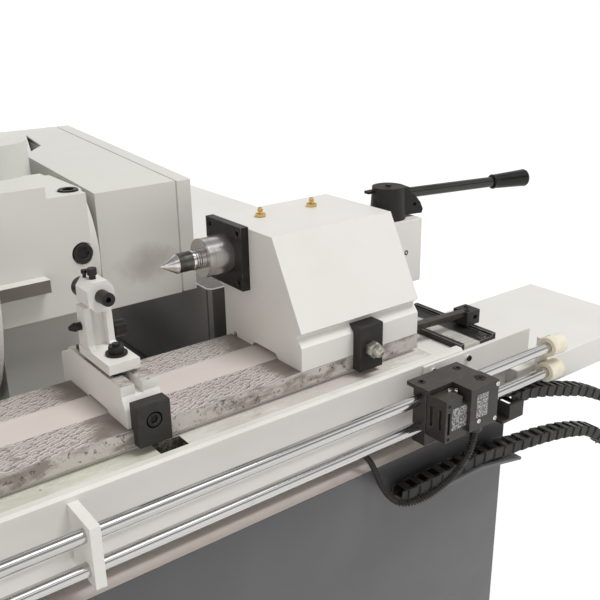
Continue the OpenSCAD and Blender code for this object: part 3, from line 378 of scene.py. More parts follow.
def scraped_iron(name):
    """Top of the upper table: crescents scraped into brown-grey iron, plain near the fixtures."""
    material, g, shader, co = bare(name, Metallic=0.35)
    marks = g.group("Scraping", Vector=co)
    x = g.axes(co)[0]
    wander = g.maths("MULTIPLY_ADD", g.noise(co, 32, 3, 0.6), 0.05, g.maths("SUBTRACT", x, 0.025))
    beside_tail = g.step(wander, CORNER.x - 0.05, CORNER.x - 0.022)
    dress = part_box("dresser_base")
    left = g.step(wander, dress[0].x - 0.05, dress[0].x - 0.02)
    right = g.step(wander, dress[1].x + 0.012, dress[1].x - 0.004)
    plain = g.maths("MAXIMUM", beside_tail, g.maths("MULTIPLY", left, right))
    worn = g.group("Grime", Vector=co, Scale=22.0, Cover=0.57, Softness=0.12)
    plain = g.maths("MAXIMUM", plain, worn["Mask"])
    scraped = g.maths("SUBTRACT", 1.0, plain)
    drift = g.step(g.noise(co, 18, 4, 0.6), 0.3, 0.7)
    iron = g.mix(drift, (0.30, 0.255, 0.23), (0.20, 0.168, 0.15))
    ground = g.mix(scraped, iron, (0.54, 0.48, 0.45))
    body = g.stain(ground, marks["Light"], scraped, (0.88, 0.84, 0.81))
    body = g.stain(body, marks["Dark"], scraped, (0.04, 0.024, 0.018))
    lines = g.group("Tool Lines", Vector=co, Stretch=(6, 900, 6))
    height = g.maths("MULTIPLY_ADD", g.maths("MULTIPLY", marks["Height"], scraped), 0.5,
                     g.maths("MULTIPLY", lines["Height"], 0.25))
    g.fill(shader, Base_Color=body, Roughness=g.maths("MULTIPLY_ADD", drift, 0.12, 0.34),
           Normal=g.bump(height, 0.00003))
    return material


def weathered_side(name):
    """Ground iron that has stood long in coolant: brown stains, pits and crossing scratches."""
    material, g, shader, co = bare(name, Metallic=0.25)
    stain = g.group("Grime", Vector=g.place(co, scale=(0.6, 1, 1.6)), Scale=48.0, Cover=0.44,
                    Softness=0.2)
    spots = g.group("Grime", Vector=co, Scale=150.0, Cover=0.58, Softness=0.07)
    along = g.group("Scratches", Vector=co, Stretch=(24, 400, 360), Width=0.022)
    across = g.group("Scratches", Vector=g.place(co, rotation=(0, 0.6, 0)),
                     Stretch=(340, 400, 26), Width=0.02)
    body = g.mix(stain["Mask"], (0.59, 0.55, 0.515), (0.29, 0.25, 0.228))
    body = g.stain(body, spots["Mask"], 0.75, (0.055, 0.042, 0.034))
    body = g.stain(body, along["Mask"], 0.5, (0.52, 0.49, 0.46))
    body = g.stain(body, across["Mask"], 0.6, (0.06, 0.048, 0.04))
    lines = g.group("Tool Lines", Vector=co, Stretch=(5, 500, 900))
    g.fill(shader, Base_Color=body, Roughness=g.maths("MULTIPLY_ADD", stain["Mask"], 0.2, 0.34),
           Normal=g.bump(g.maths("ADD", lines["Height"], spots["Mask"]), 0.00006))
    return material


def stained_ledge(name):
    """White enamel of the table's gutter, painted darker as shade under the table, under dried
    coolant and oil.
    """
    material, g, shader, co = bare(name)
    skin = g.group("Paint Skin", Vector=co)
    long_way = g.place(co, scale=(0.35, 1, 1))
    milk = g.group("Grime", Vector=long_way, Scale=30.0, Cover=0.42, Softness=0.3)
    oil = g.group("Grime", Vector=long_way, Scale=52.0, Cover=0.58, Softness=0.08)
    specks = g.group("Grime", Vector=co, Scale=260.0, Cover=0.66, Softness=0.05)
    past_drain = g.step(g.axes(co)[0], *(at(x, 0, 0).x for x in PAST_DRAIN_X))
    # its base colour is darker than the white enamel: painted shade from the table above; it turns
    # from green to beige past the drain
    shaded_enamel = g.mix(past_drain, (0.62, 0.62, 0.52), (0.62, 0.575, 0.54))
    body = g.mix(skin["Tone"], shaded_enamel, g.mix(past_drain, (0.50, 0.50, 0.42), (0.53, 0.49, 0.455)))
    body = g.stain(body, milk["Mask"], 0.75, (0.74, 0.75, 0.68))
    body = g.stain(body, oil["Mask"], 0.4, (0.27, 0.25, 0.2))
    body = g.stain(body, specks["Mask"], 0.7, (0.14, 0.11, 0.08))
    g.fill(shader, Base_Color=body, Roughness=g.step(milk["Mask"], 0, 1, 0.16, 0.42),
           Normal=g.bump(g.maths("ADD", milk["Mask"], skin["Height"]), 0.0003))
    return material


def sludge(name):
    """Floor of the drain pocket, dark with swarf and oil."""
    material, g, shader, co = bare(name)
    lumps = g.noise(co, 150, 6, 0.7, 0.6)
    pale = g.group("Grime", Vector=co, Scale=95.0, Cover=0.5, Softness=0.1)
    body = g.mix(g.step(lumps, 0.35, 0.65), (0.03, 0.028, 0.022), (0.17, 0.16, 0.13))
    body = g.stain(body, pale["Mask"], 0.6, (0.45, 0.45, 0.38))
    g.fill(shader, Base_Color=body, Roughness=g.step(lumps, 0.3, 0.7, 0.15, 0.5),
           Normal=g.bump(lumps, 0.0012))
    return material


def cover_paint(name, colour, shade, patch_at):
    """Enamel of the belt cover, with a soft brown patch round one point."""
    material, g, shader, co = bare(name, Coat_Weight=0.08, Coat_Roughness=0.2)
    skin = g.group("Paint Skin", Vector=co)
    edge = g.group("Edge Wear", Vector=co, Radius=0.0014, Amount=0.2)
    away = g.vectors("MULTIPLY", g.vectors("SUBTRACT", co, patch_at), (1.0, 1.0, 1.75))
    reach = g.maths("MULTIPLY_ADD", g.noise(co, 45, 5, 0.6), 0.05,
                    g.vectors("LENGTH", away, out="Value"))
    mark = g.step(reach, 0.088, 0.03)
    body = g.mix(skin["Tone"], colour, shade)
    body = g.stain(body, mark, 0.55, (0.30, 0.25, 0.21))
    body = g.mix(edge["Mask"], body, (0.86, 0.85, 0.83))
    g.fill(shader, Base_Color=body, Roughness=g.maths("MULTIPLY_ADD", skin["Gloss"], 0.1, 0.38),
           Normal=g.bump(skin["Height"], 0.00012))
    return material


def nylon(name):
    """Cream cast nylon, slightly translucent, with turning lines."""
    material, g, shader, co = bare(name, Subsurface_Weight=0.25, Subsurface_Scale=0.004)
    lines = g.group("Tool Lines", Vector=co, Stretch=(700, 60, 60))
    drift = g.step(g.noise(co, 60, 4, 0.6), 0.3, 0.7)
    body = g.mix(drift, (0.83, 0.79, 0.66), (0.74, 0.69, 0.54))
    g.fill(shader, Base_Color=body, Roughness=g.maths("MULTIPLY_ADD", drift, 0.12, 0.34),
           Normal=g.bump(lines["Height"], 0.00006))
    return material


def abrasive(name):
    """Open-grained wheel of bonded oxide."""
    material, g, shader, co = bare(name)
    grain = g.add("ShaderNodeTexVoronoi", feature="F1")
    g.fill(grain, Vector=co, Scale=1100.0)
    pores = g.noise(co, 650, 4, 0.7)
    body = g.mix(g.step(pores, 0.38, 0.62), (0.30, 0.23, 0.19), (0.66, 0.56, 0.48))
    body = g.stain(body, grain.outputs["Distance"], 0.4, (0.82, 0.78, 0.74))
    g.fill(shader, Base_Color=body, Roughness=g.maths("MULTIPLY_ADD", pores, 0.2, 0.75),
           Normal=g.bump(pores, 0.0006))
    return material


def label_field(name):
    """Bare light field where a data plate would be."""
    material, g, shader, co = bare(name)
    rub = g.noise(co, 380, 5, 0.7)
    body = g.mix(g.step(rub, 0.44, 0.56), (0.05, 0.05, 0.048), (0.42, 0.41, 0.39))
    g.fill(shader, Base_Color=body, Roughness=g.maths("MULTIPLY_ADD", rub, 0.2, 0.35),
           Normal=g.bump(rub, 0.00004))
    return material


def lamp_cap(name, colour, shade):
    """Moulded push button."""
    material, g, shader, co = bare(name, Coat_Weight=0.3, Coat_Roughness=0.1)
    drift = g.noise(co, 90, 4, 0.6)
    g.fill(shader, Base_Color=g.mix(g.step(drift, 0.3, 0.7), colour, shade),
           Roughness=g.maths("MULTIPLY_ADD", drift, 0.15, 0.25),
           Normal=g.bump(g.noise(co, 900, 2), 0.00003))
    return material


def make_finishes(colours):
    """Every material, from the colours in the panel."""
    white, grey, strip, dark, black = (tuple(getattr(colours, key)) for key in (
        "enamel", "grey_enamel", "strip", "base_enamel", "blackening"))

    def tint(colour, r, g, b):
        return (colour[0] * r, colour[1] * g, colour[2] * b)

    paint("white_enamel", white, tint(white, 0.96, 0.955, 0.94), 0.42, grime=0.05)
    paint("white_casting", white, tint(white, 0.93, 0.92, 0.9), 0.46, grime=0.16,
          dirt=(0.3, 0.27, 0.24), wave=0.0005, wear=0.45, worn=(0.32, 0.3, 0.28))
    paint("grey_enamel", grey, tint(grey, 0.95, 0.95, 0.94), 0.4, grime=0.06)
    paint("strip_enamel", strip, tint(strip, 0.95, 0.94, 0.93), 0.45, dirt=(0.45, 0.38, 0.33))
    # the lip's white is a darker copy of the enamel, painted shade that tones down its lit top,
    # with more dirt
    paint("lip_enamel", (0.76, 0.755, 0.71), (0.66, 0.655, 0.6), 0.4, grime=0.25,
          dirt=(0.4, 0.37, 0.3))
    paint("base_enamel", dark, tint(dark, 1.2, 1.2, 1.2), 0.34, grime=0.04,
          dirt=(0.1, 0.096, 0.092), worn=(0.12, 0.12, 0.12), coat=0.15)
    # the cabinet's left faces: a far lighter copy of the base enamel, a painted sheen for the gloss
    # on them
    paint("cabinet_enamel", tint(dark, 3.5, 3.45, 3.3), tint(dark, 4.3, 4.2, 4.05), 0.2,
          dirt=(0.24, 0.235, 0.225), wear=0.2, worn=(0.4, 0.4, 0.4), coat=0.5)
    paint("cabinet_front", (0.12, 0.115, 0.105), (0.105, 0.1, 0.092), 0.3, wear=0.1)
    paint("cabinet_edge", (0.34, 0.335, 0.32), (0.29, 0.285, 0.275), 0.3, wear=0.1)
    paint("ledge_beige", (0.70, 0.64, 0.60), (0.62, 0.56, 0.52), 0.45, grime=0.25,
          dirt=(0.3, 0.26, 0.23))
    paint("edge_white", (0.74, 0.73, 0.7), (0.66, 0.65, 0.62), 0.35, wear=0.0)
    paint("ledge_dark", (0.18, 0.16, 0.14), (0.115, 0.1, 0.088), 0.5, grime=0.4,
          dirt=(0.3, 0.28, 0.25), wear=0.8, worn=(0.5, 0.48, 0.45))
    # a darker grey for the sink in the belt cover: painted shade inside it
    paint("recess_grey", tint(grey, 0.9, 0.9, 0.9), tint(grey, 0.75, 0.75, 0.75), 0.5, grime=0.2)
    # light grey on the arrises of the black scale bars: a painted highlight along them, standing
    # also for their wear
    paint("bright_edge", (0.62, 0.61, 0.59), (0.5, 0.49, 0.47), 0.3, wear=0.0)
    paint("motor_enamel", (0.15, 0.17, 0.19), (0.12, 0.135, 0.15), 0.38, wear=0.4)
    cover_paint("cover_enamel", tint(grey, 1.0, 1.0, 0.99), tint(grey, 0.96, 0.96, 0.94),
                at(*BROWN_PATCH_AT))
    steel("bright_steel", (0.72, 0.7, 0.68), (0.58, 0.56, 0.54), 0.16)
    steel("turned_steel", (0.58, 0.56, 0.54), (0.46, 0.44, 0.425), 0.22, stretch=(1400, 3, 3),
          depth=0.00001, metallic=0.88)
    # dark steel for the dead centre's grooves and the band behind its collar: painted shade in them
    steel("dark_steel", (0.13, 0.13, 0.115), (0.09, 0.09, 0.08), 0.3, stretch=(1400, 3, 3))
    steel("chrome", (0.66, 0.655, 0.64), (0.48, 0.475, 0.46), 0.12, stretch=(3, 700, 700),
          depth=0.00001, scratch=0.12, scratch_stretch=(9, 700, 700), grime=0.12)
    steel("nut_chrome", (0.78, 0.77, 0.76), (0.66, 0.65, 0.64), 0.12, scratch=0.05)
    steel("nut_satin", (0.50, 0.485, 0.43), (0.40, 0.385, 0.34), 0.3, scratch=0.1, metallic=0.8)
    weathered_side("ground_side")
    steel("ground_edge", (0.55, 0.51, 0.48), (0.3, 0.265, 0.24), 0.4, metallic=0.3, grime=0.6,
          stretch=(160, 90, 90))
    steel("arm_iron", (0.06, 0.052, 0.043), (0.035, 0.03, 0.025), 0.36, metallic=0.2)
    steel("scale_metal", (0.62, 0.595, 0.55), (0.48, 0.46, 0.42), 0.36, stretch=(4, 700, 4),
          metallic=0.1)
    steel("brass", (0.80, 0.57, 0.22), (0.62, 0.41, 0.13), 0.22, stretch=(30, 30, 900))
    steel("plain_iron", (0.26, 0.25, 0.24), (0.18, 0.17, 0.165), 0.42, metallic=0.7)
    blacked("black_oxide", black, tint(black, 1.5, 1.48, 1.4), 0.42)
    # the switch's black: level faces take a lighter copy with more dust, standing faces a darker
    # copy, which is painted shade on its sides
    blacked("switch_black", tint(black, 2.3, 2.2, 1.95), tint(black, 3.2, 3.05, 2.7), 0.4,
            worn=(0.32, 0.3, 0.27), wear=0.7, dust=0.25, gleam=0.4)
    blacked("switch_side", tint(black, 1.25, 1.2, 1.08), tint(black, 1.8, 1.72, 1.55), 0.4,
            worn=(0.32, 0.3, 0.27), wear=0.7, dust=0.1, gleam=0.4)
    blacked("flange_black", tint(black, 0.62, 0.56, 0.52), tint(black, 0.9, 0.82, 0.76), 0.36,
            wear=0.9, worn=(0.25, 0.22, 0.2))
    blacked("screw_black", tint(black, 0.45, 0.45, 0.43), tint(black, 0.8, 0.78, 0.74), 0.34,
            wear=0.8, worn=(0.22, 0.21, 0.2))
    blacked("hub_black", tint(black, 0.62, 0.6, 0.56), tint(black, 0.9, 0.87, 0.82), 0.5,
            grain=0.0003, scale=260, wear=0.35)
    blacked("bar_black", tint(black, 0.7, 0.72, 0.74), tint(black, 1.0, 1.0, 1.02), 0.12,
            wear=0.2, grain=0.00001, gleam=0.6)
    blacked("grip_black", tint(black, 0.3, 0.3, 0.3), tint(black, 0.45, 0.45, 0.45), 0.22,
            wear=0.2, grain=0.00003, scale=700)
    blacked("chain_black", tint(black, 0.42, 0.42, 0.44), tint(black, 0.75, 0.74, 0.75), 0.42,
            wear=0.3, grain=0.00006, scale=900, dust=0.2)
    blacked("rubber_black", tint(black, 0.8, 0.78, 0.76), tint(black, 1.5, 1.45, 1.4), 0.42,
            wear=0.0, dust=0.25)
    # near-black for small slots and screw holes: painted shade inside them
    blacked("socket_dark", (0.006, 0.006, 0.006), (0.012, 0.012, 0.012), 0.6, wear=0.0, dust=0.0)
    scraped_iron("scraped_iron")
    stained_ledge("stained_ledge")
    sludge("sludge")
    nylon("nylon")
    abrasive("abrasive")
    label_field("label_field")
    lamp_cap("green_cap", (0.03, 0.26, 0.06), (0.025, 0.2, 0.05))
    lamp_cap("red_cap", (0.5, 0.02, 0.015), (0.4, 0.015, 0.012))


def mat(name):
    """The material of a finish."""
    return bpy.data.materials["finish_" + name]


# ---------------------------------------------------------------- mesh work


def into_scene(name, data):
    """A new object of the given data, linked to the scene."""
    thing = bpy.data.objects.new(name, data)
    bpy.context.scene.collection.objects.link(thing)
    return thing


def object_from(name, bm, finishes=()):
    """A mesh object at the origin from a bmesh, which is freed."""
    mesh = bpy.data.meshes.new(name)
    bm.to_mesh(mesh)
    bm.free()
    for finish in finishes:
        mesh.materials.append(mat(finish))
    return into_scene(name, mesh)


def settle(thing):
    """Turns the object's modifiers into its plain mesh."""
    graph = bpy.context.evaluated_depsgraph_get()
    graph.update()
    mesh = bpy.data.meshes.new_from_object(thing.evaluated_get(graph), depsgraph=graph)
    thing.modifiers.clear()
    thing.data = mesh
    mesh.name = thing.name
    return thing


def soften(thing, radius, steps, angle, edge_slot):
    """Rounds the arrises by radius millimetres and evens the shading of the flats."""
    thing.data.shade_smooth()
    bevel = thing.modifiers.new("arris", "BEVEL")
    bevel.limit_method = "ANGLE"
    bevel.angle_limit = math.radians(angle)
    bevel.width = radius * MM
    bevel.segments = steps
    bevel.material = edge_slot
    bevel.miter_outer = "MITER_ARC"
    even = thing.modifiers.new("flats", "WEIGHTED_NORMAL")
    even.weight = 100
    even.keep_sharp = True
    settle(thing)


def stand_for(thing, node):
    """thing takes a CAD node's place and body."""
    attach(thing, BODY_OF[node])
    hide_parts(node)


def arris(kind, share=1.0):
    """A radius from the panel, or a share of it, in millimetres."""
    return getattr(bpy.context.scene.grinder_edges, kind) / MM * share


def level(normal):
    """Whether a face looks up."""
    return normal.z > 0.9


def upright(normal):
    """Whether a face stands."""
    return abs(normal.z) < 0.5


def cad_copy(node, *finishes, radius=1.0, steps=3, angle=30, edge=None, choose=None, cuts=(),
             again=None):
    """A copy of a CAD node with whole faces, rounded arrises and its finishes.

    choose(centre, normal) names a face's finish, its centre in the table's millimetres; edge is
    the finish of the rounded arrises, and again(centre, normal, finish) may change a face's
    finish after that; cuts are planes, each a point and a normal, that divide faces beforehand.
    """
    bm = bmesh.new()
    bm.from_mesh(frame["nodes"][node].data)
    bmesh.ops.remove_doubles(bm, verts=bm.verts, dist=WELD)
    bmesh.ops.dissolve_limit(bm, angle_limit=FLAT, verts=bm.verts, edges=bm.edges)
    for point, normal in cuts:
        bmesh.ops.bisect_plane(bm, geom=bm.verts[:] + bm.edges[:] + bm.faces[:],
                               plane_co=at(*point), plane_no=normal, dist=1e-6)
    bm.normal_update()
    for face in bm.faces:
        face.material_index = 0
        if choose:
            finish = choose(local_mm(face.calc_center_median()), face.normal)
            face.material_index = finishes.index(finish)
    thing = object_from(node + "_shape", bm, finishes)
    soften(thing, radius, steps, angle, finishes.index(edge) if edge else -1)
    if again:
        for face in thing.data.polygons:
            finish = again(local_mm(face.center), face.normal, finishes[face.material_index])
            face.material_index = finishes.index(finish)
    stand_for(thing, node)


def keep_node(node, finish):
    """A CAD node stays as it is, with a real finish."""
    data = frame["nodes"][node].data
    data.materials.clear()
    data.materials.append(mat(finish))


def ring_points(radius, sides, z, hexed):
    """A ring round Z; a hexed one lies on a hexagon whose flats stand radius from the axis."""
    points = []
    for k in range(sides):
        a = 2 * math.pi * k / sides
        r = radius
        if hexed:
            r = radius / math.cos((a % (math.pi / 3)) - math.pi / 6)
        points.append(Vector((r * math.cos(a), r * math.sin(a), z)))
    return points


def lathe(bm, profile, sides, place=Matrix.Identity(4), slots=None):
    """Turns a profile of (radius, height[, hexed]) in millimetres; ends on the axis close it."""
    rings = []
    for r, z, *hexed in profile:
        points = ring_points(r * MM, sides, z * MM, hexed) if r else [Vector((0, 0, z * MM))]
        rings.append([bm.verts.new(place @ p) for p in points])
    for n, (a, b) in enumerate(zip(rings, rings[1:])):
        for k in range(sides):
            q = (k + 1) % sides
            if len(a) == 1:
                corners = [a[0], b[q], b[k]]
            elif len(b) == 1:
                corners = [a[k], a[q], b[0]]
            else:
                corners = [a[k], a[q], b[q], b[k]]
            face = bm.faces.new(corners)
            if slots:
                face.material_index = slots[n]
    return bm


def facing(origin, direction, spin=0.0):
    """A matrix that carries Z to a direction at a point."""
    turn = Vector(direction).normalized().to_track_quat("Z", "Y").to_matrix().to_4x4()
    return Matrix.Translation(origin) @ turn @ Matrix.Rotation(spin, 4, "Z")


def slab(bm, low, high, radius):
    """A box between two corners in the table's millimetres, with rounded arrises."""
    made = bmesh.ops.create_cube(bm, size=1.0)["verts"]
    a, b = at(*low), at(*high)
    for v in made:
        v.co = Vector([(a[k] + b[k]) / 2 + v.co[k] * (b[k] - a[k]) for k in range(3)])
    edges = list({e for v in made for e in v.link_edges})
    bmesh.ops.bevel(bm, geom=edges, offset=radius * MM, segments=2, profile=0.5,
                    affect="EDGES", material=-1)


def shade(thing, angle):
    """Smooth faces with sharp edges past an angle."""
    thing.data.shade_smooth()
    thing.data.set_sharp_from_angle(angle=math.radians(angle))
    return thing


# ---------------------------------------------------------------- repeating parts


def make_repeaters():
    """The Geometry Nodes trees for parts that repeat or follow a path."""
    # a template stood on every point, turned and sized by the point's own values
    g, i, o = open_group("Stand On Points", "GeometryNodeTree",
                         [("Points", "g", None), ("Template", "o", None), ("Diameter", "f", 0.01),
                          ("Height", "f", 0.005), ("Finish", "m", None)], [("Geometry", "g")])
    turn = g.add("GeometryNodeInputNamedAttribute", data_type="FLOAT_VECTOR")
    turn.inputs["Name"].default_value = "turn"
    euler = g.feed(g.add("FunctionNodeEulerToRotation"), (turn.outputs["Attribute"],))
    size = g.combine(i["Diameter"], i["Diameter"], i["Height"])
    end_tree(g, copies(g, i["Points"], i["Template"], euler.outputs[0], size), i["Finish"], o)

    # links set along a line at a fixed pitch, each turned to the line in its own plane
    g, i, o = open_group("Links On A Line", "GeometryNodeTree",
                         [("Line", "g", None), ("Template", "o", None), ("Pitch", "f", 0.024),
                          ("Width", "f", 0.026), ("Height", "f", 0.022), ("Finish", "m", None)],
                         [("Geometry", "g")])
    curve = g.feed(g.add("GeometryNodeMeshToCurve"), (i["Line"],))
    points = g.add("GeometryNodeCurveToPoints", mode="LENGTH")
    g.fill(points, Curve=curve.outputs[0], Length=i["Pitch"])
    align = g.add("FunctionNodeAlignRotationToVector", axis="X", pivot_axis="Y")
    g.fill(align, Vector=points.outputs["Tangent"])
    size = g.combine(i["Pitch"], i["Width"], i["Height"])
    end_tree(g, copies(g, points.outputs["Points"], i["Template"], align.outputs[0], size),
             i["Finish"], o)

    # a tube along a line whose wall rises in ribs up to a share of its length
    g, i, o = open_group("Ribbed Tube", "GeometryNodeTree",
                         [("Line", "g", None), ("Diameter", "f", 0.015),
                          ("End Diameter", "f", 0.01), ("Rib Pitch", "f", 0.0032),
                          ("Rib Depth", "f", 0.0009), ("Ribbed Share", "f", 0.6),
                          ("Finish", "m", None)], [("Geometry", "g")])
    steps_per_rib, sides = 4.0, 18
    curve = g.feed(g.add("GeometryNodeMeshToCurve"), (i["Line"],))
    dense = g.add("GeometryNodeResampleCurve", mode="LENGTH")
    g.fill(dense, Curve=curve.outputs[0], Length=g.maths("DIVIDE", i["Rib Pitch"], steps_per_rib))
    along = g.add("GeometryNodeSplineParameter")
    wave = g.maths("SINE", g.maths("MULTIPLY", g.maths("DIVIDE", along.outputs["Length"],
                                                       i["Rib Pitch"]), 2 * math.pi))
    past = g.maths("GREATER_THAN", along.outputs["Factor"], i["Ribbed Share"])
    ribs = g.maths("MULTIPLY", g.maths("MULTIPLY", wave, i["Rib Depth"]),
                   g.maths("SUBTRACT", 1.0, past))
    half = g.maths("MULTIPLY", 0.5, g.maths("ADD", i["Diameter"], g.maths(
        "MULTIPLY", past, g.maths("SUBTRACT", i["End Diameter"], i["Diameter"]))))
    radius = g.maths("SUBTRACT", g.maths("ADD", half, ribs),
                     g.maths("MULTIPLY", i["Rib Depth"], g.maths("SUBTRACT", 1.0, past)))
    circle = g.add("GeometryNodeCurvePrimitiveCircle", mode="RADIUS")
    g.fill(circle, Resolution=sides, Radius=1.0)
    tube = g.add("GeometryNodeCurveToMesh")
    g.fill(tube, Curve=dense.outputs[0], Profile_Curve=circle.outputs[0], Scale=radius,
           Fill_Caps=True)
    smooth = g.feed(g.add("GeometryNodeSetShadeSmooth"), (tube.outputs[0],))
    end_tree(g, smooth.outputs[0], i["Finish"], o)

    # short bars in a row, every fifth one longer
    g, i, o = open_group("Graduations", "GeometryNodeTree",
                         [("Geometry", "g", None), ("Start", "v", (0.0, 0.0, 0.0)),
                          ("Spacing", "f", 0.002), ("Count", "i", 50), ("Length", "f", 0.004),
                          ("Long Length", "f", 0.008), ("Line Width", "f", 0.0004),
                          ("Finish", "m", None)], [("Geometry", "g")])
    thickness = 0.0002
    row = g.add("GeometryNodeMeshLine", mode="OFFSET")
    g.fill(row, Count=i["Count"], Start_Location=i["Start"],
           Offset=g.combine(0.0, i["Spacing"], 0.0))
    fifth = g.maths("LESS_THAN", g.maths("MODULO", g.add("GeometryNodeInputIndex").outputs[0], 5.0),
                    0.5)
    length = g.maths("ADD", i["Length"], g.maths("MULTIPLY", fifth, g.maths(
        "SUBTRACT", i["Long Length"], i["Length"])))
    cube = g.fill(g.add("GeometryNodeMeshCube"), Size=(1, 1, 1))
    shift = g.add("GeometryNodeTransform")
    g.fill(shift, Geometry=cube.outputs[0], Translation=(0.5, 0, 0))
    stand = g.add("GeometryNodeInstanceOnPoints")
    g.fill(stand, Points=row.outputs[0], Instance=shift.outputs[0],
           Scale=g.combine(length, i["Line Width"], thickness))
    end_tree(g, stand.outputs[0], i["Finish"], o)


def copies(g, points, template, turn, size):
    """The template object on every point, turned and sized."""
    info = g.add("GeometryNodeObjectInfo", transform_space="ORIGINAL")
    g.put(info.inputs["Object"], template)
    stand = g.add("GeometryNodeInstanceOnPoints")
    g.fill(stand, Points=points, Instance=info.outputs["Geometry"], Rotation=turn, Scale=size)
    return stand.outputs[0]


def end_tree(g, geometry, finish, outputs):
    """Realize Instances and Set Material, the end of every tree."""
    real = g.feed(g.add("GeometryNodeRealizeInstances"), (geometry,))
    dress = g.add("GeometryNodeSetMaterial")
    g.fill(dress, Geometry=real.outputs[0], Material=finish)
    g.put(outputs["Geometry"], dress.outputs[0])


def run_tree(thing, tree, **values):
    """Puts a tree on an object, sets its inputs by their identifiers and keeps the plain mesh."""
    group = bpy.data.node_groups[tree]
    modifier = thing.modifiers.new(tree, "NODES")
    modifier.node_group = group
    sockets = {s.name: s.identifier for s in group.interface.items_tree if s.in_out == "INPUT"}
    for key, value in values.items():
        modifier[sockets[key.replace("_", " ")]] = value
    thing.data.update()
    return settle(thing)


def make_templates():
    """Screw heads of unit size, for a tree to copy."""
    for name, (sides, profile) in TEMPLATES.items():
        bm = lathe(bmesh.new(), [(r / MM, z / MM, *rest) for r, z, *rest in profile], sides)
        shade(object_from(name, bm), 30)


def heads(name, kind, body, places, diameter, height, finish, node=None):
    """Screws of one kind on one body. places: ((x, y, z), direction[, spin])."""
    mesh = bpy.data.meshes.new(name)
    mesh.from_pydata([at(*p[0]) for p in places], [], [])
    turn = mesh.attributes.new("turn", "FLOAT_VECTOR", "POINT")
    for k, (_, direction, *spin) in enumerate(places):
        turn.data[k].vector = facing((0, 0, 0), direction, *spin).to_euler()
    thing = run_tree(into_scene(name, mesh), "Stand On Points", Template=bpy.data.objects[kind],
                     Diameter=diameter * MM, Height=height * MM, Finish=mat(finish))
    if node:
        stand_for(thing, node)
    else:
        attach(thing, body)


def poly_line(name, points):
    """An open line of edges through points given in metres."""
    mesh = bpy.data.meshes.new(name)
    mesh.from_pydata(points, [(k, k + 1) for k in range(len(points) - 1)], [])
    return into_scene(name, mesh)


def smooth_path(points, steps=8):
    """A curve through points that turns evenly between them."""
    pts = [2 * points[0] - points[1], *points, 2 * points[-1] - points[-2]]
    out = []
    for a, b, c, d in zip(pts, pts[1:], pts[2:], pts[3:]):
        for k in range(steps):
            t = k / steps
            out.append(0.5 * (2 * b + (c - a) * t + (2 * a - 5 * b + 4 * c - d) * t * t
                              + (3 * b - a - 3 * c + d) * t ** 3))
    out.append(pts[-2])
    return out


# ---------------------------------------------------------------- what a user may change


class GrinderEdges(bpy.types.PropertyGroup):
    """Rounding of the arrises."""

    casting: bpy.props.FloatProperty(name="Castings", description="Radius on cast and filled edges",
                                     default=0.0026, min=0.0005, max=0.006, subtype="DISTANCE")
    machined: bpy.props.FloatProperty(name="Machined parts", description="Chamfer on steel parts",
                                      default=0.0008, min=0.0001, max=0.002, subtype="DISTANCE")
    sheet: bpy.props.FloatProperty(name="Sheet metal", description="Radius of bent sheet corners",
                                   default=0.0016, min=0.0002, max=0.004, subtype="DISTANCE")


class GrinderColours(bpy.types.PropertyGroup):
    """Colours of the painted and blackened pieces."""

    enamel: bpy.props.FloatVectorProperty(
        name="White enamel", description="Paint of the castings", subtype="COLOR", size=3,
        min=0, max=1, default=(0.80, 0.785, 0.755))
    grey_enamel: bpy.props.FloatVectorProperty(
        name="Cover enamel", description="Paint of the wheelhead covers", subtype="COLOR", size=3,
        min=0, max=1, default=(0.72, 0.715, 0.68))
    strip: bpy.props.FloatVectorProperty(
        name="Table strip", description="Paint of the strip along the table", subtype="COLOR",
        size=3, min=0, max=1, default=(0.68, 0.61, 0.575))
    base_enamel: bpy.props.FloatVectorProperty(
        name="Base enamel", description="Paint of the machine base", subtype="COLOR", size=3,
        min=0, max=1, default=(0.086, 0.084, 0.087))
    blackening: bpy.props.FloatVectorProperty(
        name="Blackening", description="Blackened steel", subtype="COLOR", size=3,
        min=0, max=1, default=(0.019, 0.018, 0.0165))


class GrinderLight(bpy.types.PropertyGroup):
    """Studio light."""

    sky: bpy.props.FloatProperty(name="Sky", description="Even light from all round",
                                 default=0.46, min=0.0, max=2.0)
    key: bpy.props.FloatProperty(name="Key", description="Large lamp from the upper right",
                                 default=1.95, min=0.0, max=6.0)
    glint: bpy.props.FloatProperty(name="Glint", description="The key lamp as metal sees it",
                                   default=0.34, min=0.0, max=6.0)
    fill: bpy.props.FloatProperty(name="Fill", description="Warm lamp from the left",
                                  default=0.35, min=0.0, max=3.0)


# ---------------------------------------------------------------- the stage


def studio_floor(ground):
    """A wide floor under the feet that looks as light as the wall behind it."""
    bm = bmesh.new()
    bmesh.ops.create_grid(bm, x_segments=1, y_segments=1, size=60.0)
    floor = object_from("studio_floor", bm)
    floor.location = (0, 0, ground)
    material, g, shader, co = bare("studio_floor", Roughness=0.8)
    speck = g.noise(co, 3.0, 4)
    g.fill(shader, Base_Color=g.mix(speck, (0.86, 0.86, 0.86), (0.84, 0.84, 0.84)))
    glow = g.add("ShaderNodeEmission")
    g.fill(glow, Color=(1, 1, 1), Strength=g.maths("MULTIPLY", g.seen(), 0.2))
    both = g.feed(g.add("ShaderNodeAddShader"), (shader.outputs[0], glow.outputs[0]))
    out = next(n for n in g.tree.nodes if n.type == "OUTPUT_MATERIAL")
    g.put(out.inputs[0], both.outputs[0])
    floor.data.materials.append(material)
    return floor


